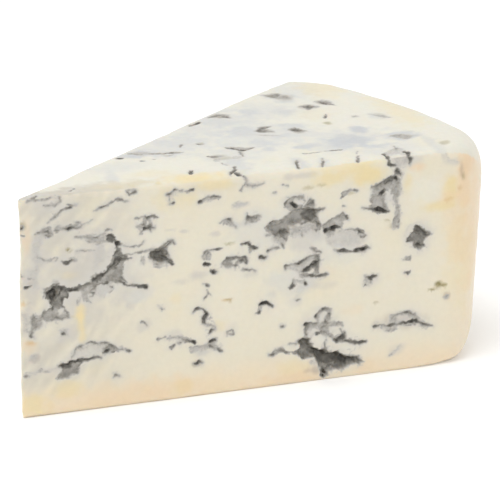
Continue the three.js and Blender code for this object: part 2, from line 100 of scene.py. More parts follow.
# ---- what is drawn on the near cut, in millimetres along and up it ----
# Black lines: (along, up, half width) from one end to the other.
NEAR_BLACK = [
    [(2.6, 44, .1), (3.8, 44.1, .14), (4.8, 43.8, .12), (6.2, 43.8, .1), (7.4, 44.2, .08)],
    [(6, 42.7, .1), (6.8, 42.5, .12), (8.2, 42.5, .1), (9.2, 43.2, .12), (8.8, 44.2, .1)],
    [(6.6, 39.2, .1), (7.4, 39.9, .16), (8.4, 40.6, .14), (9.4, 41.3, .14), (10.4, 41.6, .18),
     (11.4, 41.8, .2)],
    [(10.6, 42.4, .1), (11.6, 42.2, .12), (12.4, 42.3, .06)],
    [(4.2, 37.2, .1), (5, 37.6, .16), (5.8, 37.3, .24), (6.6, 37.4, .2), (7.2, 36.9, .14)],
    [(5.6, 38, .1), (6.4, 38.2, .1), (7, 37.8, .1)],
    [(6.2, 36.8, .12), (6.8, 36.5, .16), (7.4, 36.6, .08)],
    [(7.8, 37.6, .12), (9, 37.6, .16), (10.2, 37.5, .22), (10.9, 37.5, .3), (11.6, 37.7, .2),
     (12.8, 37.5, .16), (13.4, 38.1, .14), (12.8, 38.6, .16), (12.2, 38.7, .1)],
    [(7.9, 38.2, .1), (8.6, 38.6, .14), (9.4, 38.4, .1)],
    [(13.6, 38.1, .1), (14.6, 38.3, .1), (15.6, 38.8, .08)],
    [(15.6, 40.6, .1), (16.6, 40.8, .14), (17.4, 41, .18), (18.4, 41.4, .2), (19.4, 42, .14)],
    [(19.3, 41.8, .14), (20.2, 42.3, .22), (21.2, 42.2, .18), (22, 41.6, .12), (22.6, 41.6, .1)],
    [(22.4, 43.4, .14), (23, 43, .14), (24.2, 43.3, .24)], [(22.6, 43.6, .1), (24.2, 43.7, .12)],
    [(12, 35.8, .1), (13.2, 35.5, .14), (14.6, 35.3, .14), (16, 35.2, .24), (17.2, 35.6, .12),
     (18, 35.8, .08)],
    [(14.6, 34.6, .08), (15.8, 34.3, .12), (17.4, 34.2, .1), (18.4, 34.1, .08)],
    [(18, 36.3, .12), (18.6, 36.5, .2), (19.2, 36.4, .1)],
    [(12.2, 32.8, .06), (13.6, 33, .06), (15.8, 32.7, .06)],
    [(4.4, 32.5, .12), (5.2, 32.2, .16), (6.4, 31.8, .08), (7.4, 31.7, .14)],
    [(9.3, 31.3, .16), (9.7, 30.9, .24), (10.8, 30.85, .24), (11.4, 31.2, .2), (12.2, 31.3, .16)],
    [(10.8, 31.5, .06), (11.7, 31.7, .06)], [(1.9, 26.9, .2), (2.6, 26.9, .3), (3.3, 27.2, .1)],
    [(1, 39.1, .36), (1.7, 39, .34)], [(1.1, 37.5, .2), (2, 37.1, .26)],
    [(1.1, 29.8, .26), (1.6, 29.2, .2)],
    [(3.5, 21.4, .14), (4.3, 20.5, .24), (5.3, 20.6, .24), (5.8, 21.4, .18), (5.8, 22.3, .08)],
    [(20, 33.8, .3), (20.4, 33.3, .54), (20.9, 33.1, .3)], [(20.3, 32.8, .3), (20.4, 32.2, .2)],
    [(16.4, 26.6, .26), (17.3, 27.4, .42), (18.1, 28, .3)],
    [(20.9, 33.3, .16), (21.8, 32.9, .12), (23, 32.5, .14), (24.6, 32.4, .16), (25.4, 32.8, .16),
     (25.8, 33.4, .1)],
    [(20.6, 31.6, .2), (21.6, 31, .12), (23.4, 31.2, .14), (25.4, 31.3, .14), (27.4, 31.4, .16)],
    [(20.4, 30.5, .24), (21.6, 30.2, .26), (22.6, 30.1, .26), (23.2, 30.2, .22)],
    [(21, 28.6, .2), (20, 28.5, .3), (19.2, 28.2, .2)],
    [(20.2, 26.3, .16), (21, 25.8, .3), (21.8, 25.2, .2), (22.4, 24.8, .08)],
    [(22.4, 24.7, .16), (24, 24.5, .2), (25.2, 24.3, .28), (26.1, 24, .36)],
    [(19, 25.2, .12), (19.4, 24.9, .26)],
    [(8.8, 26, .3), (10, 25.6, .34), (10.8, 25.4, .42), (11.8, 25.3, .32), (12.8, 25.5, .24),
     (13.6, 25.8, .16)],
    [(14.6, 24.2, .14), (15, 24.5, .14), (15.6, 24.2, .2), (15.4, 23.7, .16), (14.8, 23.6, .1)],
    [(13.6, 23.8, .1), (14, 23, .16), (14.8, 22.3, .1)], [(12.2, 22.3, .06), (12.8, 23.4, .08)],
    [(6, 22.2, .1), (5.6, 21.4, .16), (4.8, 20.9, .2), (4, 21.1, .12), (3.6, 20.6, .16), (4.2, 20.1, .1)],
    [(3.2, 18.8, .1), (3.4, 17.6, .16), (3, 17, .2), (3.8, 16.8, .1)],
    [(7, 19.9, .12), (8.2, 20.2, .2), (9.2, 19.9, .2), (10.4, 20, .16)],
    [(9.6, 22, .08), (10.3, 21.2, .12), (10.5, 20.4, .12)], [(9.4, 17, .26), (9.6, 16.8, .26)],
    [(8.4, 10.4, .16), (9.6, 10.3, .3), (10.8, 10.8, .4), (12, 11, .24), (13.6, 11.1, .34),
     (14.8, 11.2, .44), (16, 11.3, .2), (17, 11, .08)],
    [(11, 11.8, .06), (11.6, 12.8, .12), (12.2, 13.8, .14), (13.4, 14.1, .14), (14.8, 14.6, .24),
     (15.6, 14.3, .16), (16.4, 13.8, .2), (17.6, 14, .18), (18.6, 13.4, .26), (19.6, 12.6, .22),
     (20.6, 12.2, .2)],
    [(17.4, 11.9, .24), (18.2, 12, .4), (18.9, 12.3, .2)], [(20.4, 12.3, .16), (21.2, 12.1, .2)],
    [(22, 11.9, .16), (22.7, 11.7, .22)], [(1.6, 9.2, .12), (2.6, 9.2, .14)],
    [(3.6, 9.7, .06), (4.6, 9.7, .08)], [(5.6, 9.7, .14), (6.5, 9.7, .16)],
    [(19.3, 6.7, .06), (20, 7.2, .24), (20.7, 6.8, .06)],
    [(30.3, 42.1, .2), (31.4, 42.3, .16), (32.2, 42.8, .2), (33, 42.3, .18), (34.4, 42.2, .2),
     (35.6, 42.4, .3)],
    [(30.8, 41.6, .08), (30.9, 40.6, .1)], [(30.9, 40, .2), (31.7, 40.3, .26)],
    [(36.6, 39.7, .3), (37.2, 39.8, .28)],
    [(37.4, 40.1, .14), (38.6, 40.5, .18), (39.8, 40.5, .22), (41, 40.3, .18)],
    [(24, 38.1, .14), (25.6, 38.1, .18), (26.4, 37.8, .34), (27.2, 38, .22), (28.6, 37.6, .16)],
    [(25.5, 37.2, .16), (25.8, 36.5, .18), (26.2, 35.9, .3)], [(27, 37.1, .12), (27.1, 36.3, .14)],
    [(25.9, 35.7, .46), (27, 35.7, .46), (27.9, 35.7, .14)],
    [(24.2, 36.4, .08), (25.2, 36.2, .1), (25.6, 35.6, .1)], [(24.8, 34.9, .08), (25.6, 35.3, .1)],
    [(41, 35.2, .1), (42.2, 35.7, .16), (43.2, 35.4, .2), (43.6, 34.5, .18), (44.2, 33.9, .16)],
    [(42.4, 35.2, .1), (43, 34.7, .12)],
    [(46.2, 34.3, .14), (46.5, 35.5, .26), (47.4, 35.3, .2), (48.2, 35.2, .24), (49.1, 35.5, .16)],
    [(46.8, 34.6, .1), (48, 34.5, .12), (48.9, 34.8, .1)], [(46.4, 36.3, .08), (46.5, 35.7, .12)],
    [(27.4, 31.4, .16), (28.6, 31.2, .18), (29.7, 31.8, .2), (30.3, 32.7, .2), (31.2, 32.7, .24),
     (31.8, 31.9, .14)],
    [(30.2, 31.9, .2), (31, 32.2, .12)], [(27.1, 29.5, .2), (27.2, 30.8, .24), (27.6, 31.1, .2)],
    [(28.2, 28.5, .1), (29.6, 28.4, .14), (30.6, 28.5, .24), (31.4, 28.1, .3)],
    [(30.2, 31, .16), (30.5, 29.8, .22), (31.2, 28.6, .28)],
    [(37.4, 28.8, .1), (38.2, 29.9, .14), (39.4, 29.8, .18), (40.3, 29.9, .28), (41.5, 29.9, .16)],
    [(38.6, 29.4, .14), (38.4, 28.8, .2), (38.4, 28.2, .2)], [(37.8, 27.1, .3), (38.6, 27, .38)],
    [(39.1, 25.8, .2), (39.7, 25.4, .42), (40.2, 25.3, .28)],
    [(37.6, 23.3, .1), (38.3, 22.9, .26), (38.8, 22.6, .2)],
    [(38.3, 22, .12), (38.4, 21, .18), (37.6, 20.3, .12)], [(38.4, 21.4, .12), (39.1, 20.6, .1)],
    [(28.8, 19.6, .14), (29.2, 19.3, .22)], [(25, 17.2, .2), (25.6, 16.9, .2), (26.1, 16.3, .14)],
    [(41.7, 26.9, .12), (42.4, 27.7, .2), (43.6, 27.8, .2), (44.8, 27.6, .22), (46, 27.6, .22),
     (46.5, 26.9, .22), (46.3, 26.4, .26)],
    [(44, 26.1, .24), (44.7, 26.8, .2), (45.6, 26.9, .26), (46.2, 26.6, .2)],
    [(41.7, 26.7, .1), (42.2, 26.3, .14), (43, 26.1, .1)],
    [(45.5, 25.1, .12), (46.6, 25, .14), (47.6, 24.9, .12), (48.2, 24.6, .16)],
    [(45.4, 30.2, .2), (46.4, 30.5, .28), (46.9, 30.6, .16)], [(47.4, 29.2, .24), (47.1, 28.3, .2)],
    [(46.7, 30.3, .2), (47.3, 29.7, .36), (47.9, 29.3, .56), (48.5, 29.3, .34)],
    [(49.2, 27.3, .3), (49.8, 27, .4), (50.3, 27.1, .2)],
    [(35.4, 17.7, .14), (36.2, 18.5, .22), (37.2, 18.4, .22), (38, 17.9, .28), (38.3, 17.1, .42),
     (37.7, 16.3, .34), (37.6, 15.6, .34), (38, 15.1, .14), (39.2, 14.6, .1), (40, 14.1, .12)],
    [(38.7, 13.1, .16), (39.2, 13.7, .36), (39.8, 13.8, .24)],
    [(28.3, 13.2, .24), (29.2, 13.5, .16), (30, 13.6, .12)],
    [(30.2, 13.2, .1), (31.6, 13.2, .1), (33, 12.8, .16), (34.2, 12.3, .2), (35.2, 11.9, .26),
     (35.9, 11.6, .26)],
    [(30.9, 11.2, .3), (31.6, 11.6, .22)], [(32.2, 12, .1), (33, 12, .2)],
    [(39, 11.4, .3), (39.8, 11.8, .28)],
    [(34.8, 10.8, .1), (36, 10.8, .14), (37.4, 10.8, .12), (38.8, 11.2, .14)],
    [(38.6, 10.8, .16), (39.4, 10.2, .24), (40.2, 10.1, .18), (40.6, 9.4, .24), (41.3, 9.2, .28)],
    [(35.5, 7.3, .16), (36.3, 7.2, .46), (36.6, 7.5, .4), (37.4, 7.2, .16)],
    [(42.3, 12.2, .1), (42.6, 13, .16), (43.3, 13.3, .1), (43.7, 12.6, .1)],
    [(42.5, 12.9, .14), (42.9, 12.4, .2), (43.4, 12.2, .1)],
    [(49.1, 17.5, .26), (49.8, 17.7, .32), (50.6, 17.7, .3), (51.7, 17, .18)],
    [(48.2, 16, .1), (48.9, 16, .22), (49.3, 16.6, .18), (49.5, 17.2, .1)],
    [(53.5, 12.6, .2), (53.9, 12.6, .24)], [(43, 44.6, .24), (43.6, 44.8, .16)],
    [(45.1, 44.6, .2), (45.8, 43.9, .28), (46.5, 42.7, .14)],
    [(46.4, 42.6, .12), (45.6, 41.8, .1), (45.2, 41.2, .14)],
    [(46.6, 42.2, .14), (47.8, 41.7, .18), (48.6, 41.9, .1), (49.8, 42, .08)],
    [(51.6, 39.8, .1), (52.2, 39.8, .16)], [(53.6, 41.1, .1), (54.8, 40.8, .12)],
    [(50.4, 33.1, .14), (51.2, 33.7, .2), (52.4, 34.1, .16), (53.8, 34.3, .12), (54.8, 35.2, .1)],
    [(50.3, 31.5, .08), (52, 31.4, .12), (53.2, 31.2, .2)],
    [(54.8, 35.3, .12), (56.4, 35.4, .16), (58.6, 35.5, .14), (60.2, 35.4, .3), (61, 35.1, .34),
     (62.2, 35.4, .2)],
    [(58.2, 33.8, .1), (59.2, 33.8, .3), (60, 33.7, .2)],
    [(54.3, 36.7, .14), (54.4, 37.4, .24), (54.8, 38, .14)],
    [(55.3, 37.4, .3), (55.8, 37, .4), (56.6, 36.5, .3)],
    [(54.8, 38.6, .1), (56.2, 38.3, .16), (57.8, 38.1, .14)],
    [(58.4, 36.6, .14), (59.4, 37.6, .2), (59.9, 37.2, .28), (60.2, 36.2, .2)],
    [(60.4, 31.4, .12), (60.8, 30.9, .26)], [(57.2, 31.6, .1), (57.9, 31.2, .18), (57.7, 30.4, .12)],
    [(55.6, 31, .1), (56.6, 31.5, .1)], [(50.8, 28.2, .22), (51.7, 28.6, .16), (53, 28.8, .12)],
    [(53.4, 29.6, .14), (54, 28.6, .12)],
    [(62, 32.1, .12), (63.4, 32.7, .14), (64.8, 33.4, .16), (66, 34.2, .2), (66.6, 33.4, .26),
     (67.3, 32.5, .16)],
    [(62.6, 30.8, .4), (63.2, 31.1, .62), (64.2, 31.3, .54), (65.3, 31.2, .3)],
    [(65.8, 30.9, .1), (67.6, 30.7, .14), (69, 30.3, .12)],
    [(69.2, 29.3, .16), (69.4, 29.8, .36), (70.1, 29.6, .3), (70.8, 29.1, .12)],
    [(64.4, 27, .12), (65.2, 26.6, .3), (66.3, 26.4, .4), (67.2, 26.1, .2), (68.2, 26, .16)],
    [(68.2, 26, .16), (69.4, 26.2, .5), (70.4, 26.3, .46), (71.6, 26.4, .16)],
    [(65.8, 37.3, .2), (66.2, 37.9, .1)], [(66.8, 38.4, .1), (68, 38.3, .14), (68.8, 38.1, .1)],
    [(66.1, 35.5, .16), (66.4, 35.6, .12)],
    [(54.3, 24.1, .16), (54.3, 24.8, .26), (55.4, 24.9, .2), (56.8, 25.1, .26), (57.8, 25.5, .2),
     (59, 26, .2), (60.4, 26.4, .18)],
    [(58.2, 23.3, .2), (59.4, 24.2, .3), (60.4, 24.8, .3)],
    [(60.9, 25.8, .16), (61, 24.6, .2), (60.7, 23.4, .14)],
    [(57.6, 22.6, .14), (58.4, 22.3, .16), (60, 22.2, .32), (61.2, 22, .24), (62.6, 22.2, .32)],
    [(59.6, 28, .12), (60.2, 27.2, .22), (61.5, 26.8, .16)],
    [(55.1, 20.4, .26), (55.6, 20.5, .3), (55.9, 21.3, .28), (56, 21.8, .14)],
    [(58.3, 21, .24), (58.6, 20.6, .46)], [(56.7, 17.6, .18), (57.2, 17.8, .12)],
    [(50.9, 7.2, .2), (51.6, 7.1, .34), (52.3, 7.3, .2)], [(52.2, 7.9, .14), (53.6, 8.2, .14)],
    [(55.3, 8.8, .2), (56.4, 8.8, .24), (57.4, 9.2, .24)],
    [(58.3, 12.3, .32), (59.4, 12.4, .26), (60.6, 12.3, .12)],
    [(58.6, 12.2, .22), (58.6, 11.2, .2), (58.7, 10.2, .22)],
    [(60.4, 13.7, .34), (60.9, 14.2, .2), (61.4, 14.7, .14), (62, 15, .36), (62.8, 15, .2)],
    [(63.3, 13.9, .34), (63.7, 14.5, .14)], [(62.4, 13.2, .14), (62.6, 12.6, .24), (63, 12, .16)],
    [(60.6, 10.2, .16), (61.2, 10.1, .2)], [(62, 11.4, .12), (63.2, 11.8, .14)],
    [(64.8, 11.7, .28), (65.3, 11.1, .16)], [(65.4, 10.5, .1), (66.1, 9.9, .14), (66.4, 9.2, .2)],
    [(62.6, 8.7, .16), (62.5, 7.6, .14), (62.8, 6.8, .12)],
    [(63.2, 9.4, .12), (64.2, 8.5, .26), (65.2, 8.5, .44), (66.2, 8.7, .4), (66.8, 9.6, .14)],
    [(66.2, 8.2, .3), (67.4, 7.7, .28), (68.8, 7.4, .22), (69.8, 7.3, .36), (71, 7.3, .24)],
    [(70.5, 18.6, .18), (70.9, 18.9, .3)],
    [(70.7, 20.8, .14), (71.4, 20.4, .3), (71.8, 20, .44), (72.4, 20.3, .3), (73.2, 20.4, .26)],
    [(71.8, 20, .3), (72, 19.4, .12)],
    [(72.7, 10.1, .3), (73.6, 10.2, .2), (75.2, 10, .22), (76.4, 10, .54), (77.4, 9.7, .24),
     (79.4, 10.1, .24), (80.6, 10.3, .36), (81.6, 10.2, .36), (82.4, 9.6, .32), (83.6, 9.1, .36),
     (84.9, 8.8, .2)],
    [(74.8, 9.2, .1), (75.8, 8.9, .2), (76.2, 9.2, .16)],
    [(76.2, 10.8, .2), (76.9, 11.8, .24), (78.4, 12.2, .14), (80.2, 12.1, .2), (81.4, 11.2, .2)],
    [(75.4, 43.8, .16), (75.6, 42.8, .3), (76.4, 42.4, .32), (77, 42.5, .2)],
    [(79.5, 43.8, .28), (79.9, 43.2, .32), (79.7, 42.4, .16)],
    [(77.2, 41.7, .2), (77.7, 41, .38), (77.9, 40.5, .3)],
    [(76.7, 40.2, .26), (77, 39.8, .42), (77.1, 39.2, .2)],
    [(76.6, 40, .24), (75.2, 39.7, .16), (74, 39.1, .26), (73.2, 38.7, .28), (72.2, 38.5, .12)],
    [(73, 36.6, .26), (73.8, 37.1, .44), (74.7, 37.6, .28)], [(74, 36.3, .14), (74.4, 36, .16)],
    [(70, 34.5, .16), (71.4, 34.3, .2), (72.4, 34.1, .3), (73.4, 34, .5), (74.3, 33.7, .44),
     (75.3, 33.3, .22)],
    [(77.2, 39, .14), (77.6, 38.2, .16)], [(76.4, 30.2, .08), (76.9, 29.8, .14)],
    [(77.2, 34.4, .06), (77.4, 32.6, .08)], [(78.6, 23.2, .06), (80, 23.4, .08)],
    [(78.9, 20.6, .12), (79.6, 20.2, .26), (80, 20.5, .18)], [(76, 3.7, .06), (76.5, 3.9, .1)],
]

# Patches of mould, one of them partly painted shade: (tone, softness of the edge, outline).
NEAR_PATCHES = {
    "crown": (.32, .4, [(4.4, 36.8), (5.6, 38.4), (7.4, 38.3), (7.6, 36.8), (6.2, 36.3)]),
    "crown line": (.27, .3, [(7.8, 38.6), (10.6, 38.2), (13.2, 38.8), (13.6, 37.6), (10.8, 37.1),
     (8, 37.2)]),
    # partly painted shade: a grey smear down the narrow end, darkened as the cut would be shaded turning
    # over a crease there
    "smear and crease shade": (.2, .8, [(4.4, 38), (6.2, 36.8), (5.2, 34.4), (5.4, 31), (4.6, 26), (3.4, 26), (3.6, 31),
     (3.4, 35)]),
    "shelf": (.3, .4, [(12.6, 35.8), (15.4, 35.8), (18.2, 35.4), (18.2, 33.9), (15.6, 33.7),
     (14.2, 34.6)]),
    "lip": (.18, .4, [(4, 32.9), (6.2, 32.4), (8.6, 32.1), (8.4, 31.4), (5.8, 31.3), (4.6, 31.7)]),
    "blotch": (.18, .4, [(2.6, 30.2), (4.4, 30.6), (4.6, 29.2), (3.6, 28.4), (2.4, 28.8)]),
    "tail": (.42, .45, [(3.4, 21.2), (4.4, 20.5), (5.6, 20.5), (5.4, 19.2), (4.6, 18.3), (3.7, 18),
     (3.4, 16.7), (2.8, 17.2), (3.2, 18.4), (2.9, 20)]),
    "tail side": (.2, .8, [(1, 22.4), (2.8, 21.8), (3.4, 20), (2.8, 17.4), (1, 17.4)]),
    "foot": (.44, .25, [(5.6, 21.8), (7.4, 22.5), (9.4, 22.4), (10.2, 21.2), (10.8, 20), (10.2, 19.6),
     (8.6, 19.8), (6.6, 19.5), (5.4, 20.2)]),
    "well side": (.6, .3, [(8, 26.3), (9.8, 26), (10.4, 25), (10.3, 23.7), (9.4, 23.9), (9.2, 22.6),
     (9.4, 21.8), (7.4, 21.8), (7.4, 23)]),
    "well brow": (.46, .3, [(5.2, 25.6), (6.4, 26.7), (8.8, 26.8), (7.6, 26), (6.2, 25.2), (5.4, 24.4)]),
    "bridge": (.56, .25, [(9.4, 26.2), (11.6, 25.9), (13.2, 26.2), (15, 26.6), (15.4, 25.8), (13.8, 25.3),
     (12.4, 25), (10, 25)]),
    "stem": (.34, .3, [(12.8, 25.8), (14.6, 26.2), (15.9, 25.4), (15.5, 24.4), (14.4, 24.2), (14.6, 22.4),
     (13.6, 22.8), (13, 24.8)]),
    "stem side": (.2, .3, [(11.8, 22.3), (12.8, 24.2), (13.2, 23.6), (12.6, 22.2)]),
    "branch": (.5, .25, [(15, 26), (15.2, 27.3), (15.8, 28), (17, 27.9), (18, 28.5), (18.6, 29.4),
     (19.3, 30.3), (19.7, 31.2), (19.8, 32.5), (21.1, 32.5), (21.3, 31.3), (22.4, 30.7), (22.6, 29.9),
     (21.5, 29.7), (21.4, 27.6), (21.8, 26.4), (22.3, 25.4), (20.6, 25.7), (19.4, 26), (18, 25.8),
     (16.6, 25.5), (15.4, 25.4)]),
    "branch veil": (.2, .4, [(15.8, 25.8), (18, 26.2), (19.9, 26), (19.3, 24.2), (17.4, 23), (15.8, 24)]),
    "branch left": (.17, .6, [(15.6, 28), (18, 30.4), (17.8, 33.8), (16.2, 34.2), (15.6, 31),
     (15.2, 29)]),
    "low": (.46, .25, [(8.2, 10.7), (10.6, 11.2), (13, 11.3), (15.4, 11.7), (15.8, 10.9), (13.2, 10.4),
     (12.5, 9.6), (12.5, 8.6), (11.2, 8.1), (10.2, 7.6), (8.4, 7.6), (7.8, 8), (8.8, 8.8), (9, 9.7)]),
    "low veil": (.18, .4, [(10.5, 11.2), (11.8, 13.5), (14.4, 14.4), (16.4, 13.8), (18.6, 13.6),
     (17.6, 11.6), (14, 11.6)]),
    "knuckle": (.42, .3, [(17.2, 12.2), (18.2, 13.4), (19.6, 13), (20.4, 12.1), (18.6, 11.5)]),
    "low end": (.22, .3, [(19.8, 12.8), (21.2, 12.8), (23, 12), (22.4, 11.6), (20.2, 11.8)]),
    "low trail": (.16, .4, [(1.2, 9.9), (4.4, 10.2), (8.2, 10.4), (8.2, 9.6), (4.6, 9.4), (1.4, 9)]),
    "fly": (.17, .3, [(19, 7.6), (20.4, 7.9), (21.4, 6.4), (20, 6.6), (18.8, 6.4)]),
    "dot left": (.28, .5, [(8.6, 17.8), (10.2, 17.8), (10.4, 16.2), (8.8, 16.1)]),
    "post": (.4, .15, [(25.4, 38), (27.2, 38), (27, 36.6), (27.6, 35.8), (27, 35.1), (25.4, 35.3),
     (25.6, 36.6)]),
    "post side": (.28, .3, [(24.2, 36.7), (25.5, 37), (25.3, 34.8), (24.6, 35.2)]),
    "box foot": (.26, .25, [(27.6, 29), (29.6, 28.5), (30, 27.9), (28.8, 27.5), (27.8, 28)]),
    "box side": (.24, .3, [(25.1, 30.5), (26.3, 30.6), (26.2, 29), (25.6, 28.3), (24.9, 29)]),
    "bar": (.16, .3, [(30.5, 42), (32.2, 42.6), (35.6, 42.2), (33.6, 41.7), (31.8, 41.6), (31.6, 40.4),
     (30.8, 40.4)]),
    "dash": (.24, .3, [(36.6, 39.9), (38.4, 40.5), (41.1, 40.5), (41, 39.9), (38.6, 39.4), (36.9, 39.3)]),
    "hat": (.34, .3, [(41.1, 35.2), (42.4, 35.8), (43.5, 35.4), (44.2, 33.9), (43, 34.2), (42, 34.7)]),
    "ring": (.38, .2, [(46.2, 35.7), (49.1, 35.7), (49, 34.9), (47.8, 34.4), (46.3, 34.4)]),
    "nib": (.34, .2, [(37.3, 29.6), (38.6, 30), (39.2, 29.2), (38.8, 28.1), (38.1, 28.1), (37.5, 28.6)]),
    "oval": (.42, .2, [(41.6, 26.9), (42.5, 27.8), (44.6, 27.9), (46.3, 27.6), (46.7, 26.4), (45.4, 26.3),
     (43.6, 26), (42.3, 26)]),
    "boot": (.4, .2, [(46.7, 29.4), (48.4, 29.4), (48, 28.4), (47, 28), (46.8, 28.6)]),
    "hook": (.22, .25, [(37.2, 18.4), (38.8, 17.6), (38.5, 16.6), (38, 15.1), (37.2, 15.2), (37.3, 17)]),
    "ledge": (.26, .25, [(30.2, 13.6), (32.6, 13.5), (34.6, 12.8), (36.2, 11.5), (34.6, 11.7),
     (32.6, 12.3), (30.6, 12.9)]),
    "ledge end": (.3, .25, [(34.7, 10.9), (38.4, 11), (39, 12), (40.3, 11.9), (40.2, 10.6), (41.4, 9.3),
     (40.4, 9), (38.8, 10.2), (36.2, 9.6), (34.9, 9.4)]),
    "squiggle": (.2, .3, [(42.2, 13.4), (43.6, 13.4), (43.8, 12.1), (42.4, 11.9)]),
    "roof": (.22, .25, [(49, 17.4), (50, 18.1), (51.4, 17.4), (50.4, 17.1), (49.3, 16.4), (48.6, 15.9),
     (48.6, 16.6)]),
    "cap": (.4, .25, [(54.1, 36.6), (54.2, 37.6), (55, 38.5), (57.8, 38.5), (58.3, 37.4), (57.8, 36),
     (55, 35.8)]),
    "cap right": (.5, .2, [(58, 36.1), (59, 37), (59.6, 37.7), (60.1, 36.6), (60.3, 35.8)]),
    "cavern arm": (.4, .25, [(60.4, 35.8), (62.3, 35.7), (61.8, 35), (60.7, 34.4)]),
    "cavern foot": (.3, .3, [(50.6, 28), (51.6, 28.8), (53, 29.2), (53.2, 28.8), (51.6, 28.2)]),
    "sail": (.4, .2, [(61.8, 32.2), (63.2, 33), (64.8, 33.6), (66, 34.4), (66.8, 33.6), (67.4, 32.5),
     (66.2, 32.2), (65.8, 31), (62.4, 31)]),
    "loop top": (.3, .3, [(68.6, 30.6), (70.2, 30.2), (71.2, 28.9), (70.2, 28.6), (69.2, 29)]),
    "loop": (.36, .35, [(68, 26.2), (69, 26.9), (70.6, 27), (72, 26.4), (71, 25.6), (69.2, 25.5)]),
    "loop veil": (.2, .8, [(62.6, 30.4), (66, 31), (70, 30), (70.8, 27.6), (68, 26.6), (64.4, 27),
     (62.4, 28.2)]),
    "sail foot": (.36, .5, [(62.2, 30.8), (64.6, 31), (64, 29.6), (63, 29.2)]),
    "brow": (.36, .35, [(65.4, 37.2), (66, 38.3), (67.4, 38.7), (68.9, 38.1), (67, 37.9), (66.4, 37.1)]),
    "fin": (.22, .3, [(54.1, 24.2), (54.4, 24.9), (57.2, 25.3), (60, 26.3), (60.4, 24.8), (58, 23.6),
     (57.4, 22.2), (56.4, 23.6)]),
    "fin tail": (.34, .25, [(57.3, 22.2), (57.8, 23), (59.4, 22.7), (62.7, 22.5), (62.8, 22),
     (60.2, 21.7), (58, 22)]),
    "strand": (.22, .25, [(59, 28), (60.4, 27.9), (61.6, 26.9), (60.8, 26.6), (60, 27)]),
    "drops": (.26, .3, [(54.9, 20.1), (55.9, 21.7), (58.6, 21.7), (59.2, 20.1), (57.6, 20.6),
     (56.6, 20.9), (55.8, 20.2)]),
    "drip": (.13, .5, [(56.4, 20.6), (58.6, 20), (58.2, 18.8), (57, 17.2), (56.2, 17.2)]),
    "tear left": (.42, .2, [(50.7, 7), (51.8, 7.9), (54, 8.4), (54.2, 7.6), (56.4, 7), (55.2, 6.8),
     (53.2, 7.2), (51.4, 6.7)]),
    "tear ring": (.42, .3, [(60.3, 13.4), (61, 14.8), (62.2, 15.4), (63.8, 14.9), (63.7, 13.8),
     (63, 12.2), (61.8, 11.6), (60.9, 12.4)]),
    "tear veil": (.34, .7, [(58.6, 12.4), (60.4, 12.6), (61, 13.6), (63.4, 13.4), (63.6, 12.2),
     (66, 11.8), (66.6, 9.4), (64.4, 8), (59.6, 9.8)]),
    "tear brow": (.5, .25, [(58.2, 12), (58.3, 12.6), (60.6, 12.6), (61.2, 11.8), (59.4, 11.8),
     (59, 10.4), (58.2, 9.8)]),
    "tear right": (.56, .25, [(63.9, 8.7), (65, 9.1), (66.2, 9.3), (66.8, 10.2), (67, 9), (66.6, 8.2),
     (69, 7.7), (71, 7.3), (69.6, 6.9), (67, 7.4), (65.4, 7.9), (64.2, 8.1)]),
    "tear crumb": (.44, .3, [(64.3, 12), (65.2, 12.1), (65.8, 11.2), (64.9, 11)]),
    "tear foot": (.24, .3, [(59.2, 4.6), (60.2, 4.9), (60.2, 3.8), (59.5, 4)]),
    "crumb": (.24, .4, [(70.4, 20.9), (72.4, 21), (73.6, 20.4), (72.2, 19.4), (71.4, 18.4),
     (70.2, 18.4)]),
    "arc": (.3, .35, [(72.5, 10.3), (75.4, 10.5), (75.8, 12), (77.6, 12.3), (80.6, 12.2), (82.2, 10.8),
     (85.2, 8.8), (83.2, 8.3), (81.6, 9.5), (77.8, 9.3), (76.2, 8.4), (75, 9.2), (73.2, 9.8)]),
    "spill": (.4, .35, [(76.2, 40.2), (77.2, 40.4), (77.9, 39.4), (78, 36.6), (77.5, 35), (77.6, 32.8),
     (78, 31.4), (77.5, 29.8), (76.7, 29.6), (76.2, 31), (76.8, 32.8), (76.8, 35), (76.2, 36.8),
     (76, 39)]),
    "spill arm": (.54, .25, [(71.8, 38.9), (73.6, 39.4), (75.2, 40), (76.8, 40.6), (76.9, 39.7),
     (74.8, 39), (73.2, 38.3), (71.9, 38.2)]),
    "spill bed": (.4, .35, [(71.7, 36.7), (73.2, 37.2), (74.8, 36.8), (75, 35.6), (75.6, 33.2),
     (73.4, 33), (71, 34.2), (71.9, 35.2)]),
    "spill veil": (.2, .4, [(75.4, 44.4), (80.4, 44.4), (80.2, 42.4), (78.2, 41.6), (76, 42)]),
    "below star": (.3, .4, [(78.3, 23.5), (80.3, 23.6), (80.2, 22.9), (78.7, 22.8)]),
    "low right": (.2, .5, [(75.8, 3.9), (77, 4.6), (78.2, 5.9), (78.8, 5.2), (77.6, 4.2), (76.2, 3.3)]),
    "side line": (.16, .35, [(86.4, 44.4), (87.4, 44.4), (88.4, 42), (90.4, 41.4), (90, 40.8),
     (87.6, 41.8)]),
    "knot": (.66, .2, [(18.3, 35.3), (19.2, 35.5), (20, 34.7), (20.3, 33.8), (19.6, 33.7), (18.4, 34.1)]),
    "branch top": (.62, .25, [(19.9, 32.1), (21, 32.1), (21.2, 30.6), (22.6, 30.3), (22.4, 29.9),
     (19.8, 30), (19.6, 30.9)]),
    "well hair": (.2, .5, [(6.8, 26.2), (7.4, 27.9), (8.8, 27.6), (9, 26.2)]),
    "spot": (.26, .5, [(2.5, 12.4), (3.4, 13.2), (4.5, 13.4), (4.5, 12), (3.6, 11.5)]),
    "cavern skirt": (.28, .6, [(54.8, 32.4), (59.6, 33), (60.9, 32.4), (61.6, 30.4), (60.4, 30.3),
     (59.4, 31), (58.2, 30.2), (57, 30.4), (55.4, 30.6)]),
    "cavern lobe": (.3, .8, [(51.6, 31.2), (54.6, 31), (54.6, 29.6), (53.6, 28.9), (52.8, 29.4),
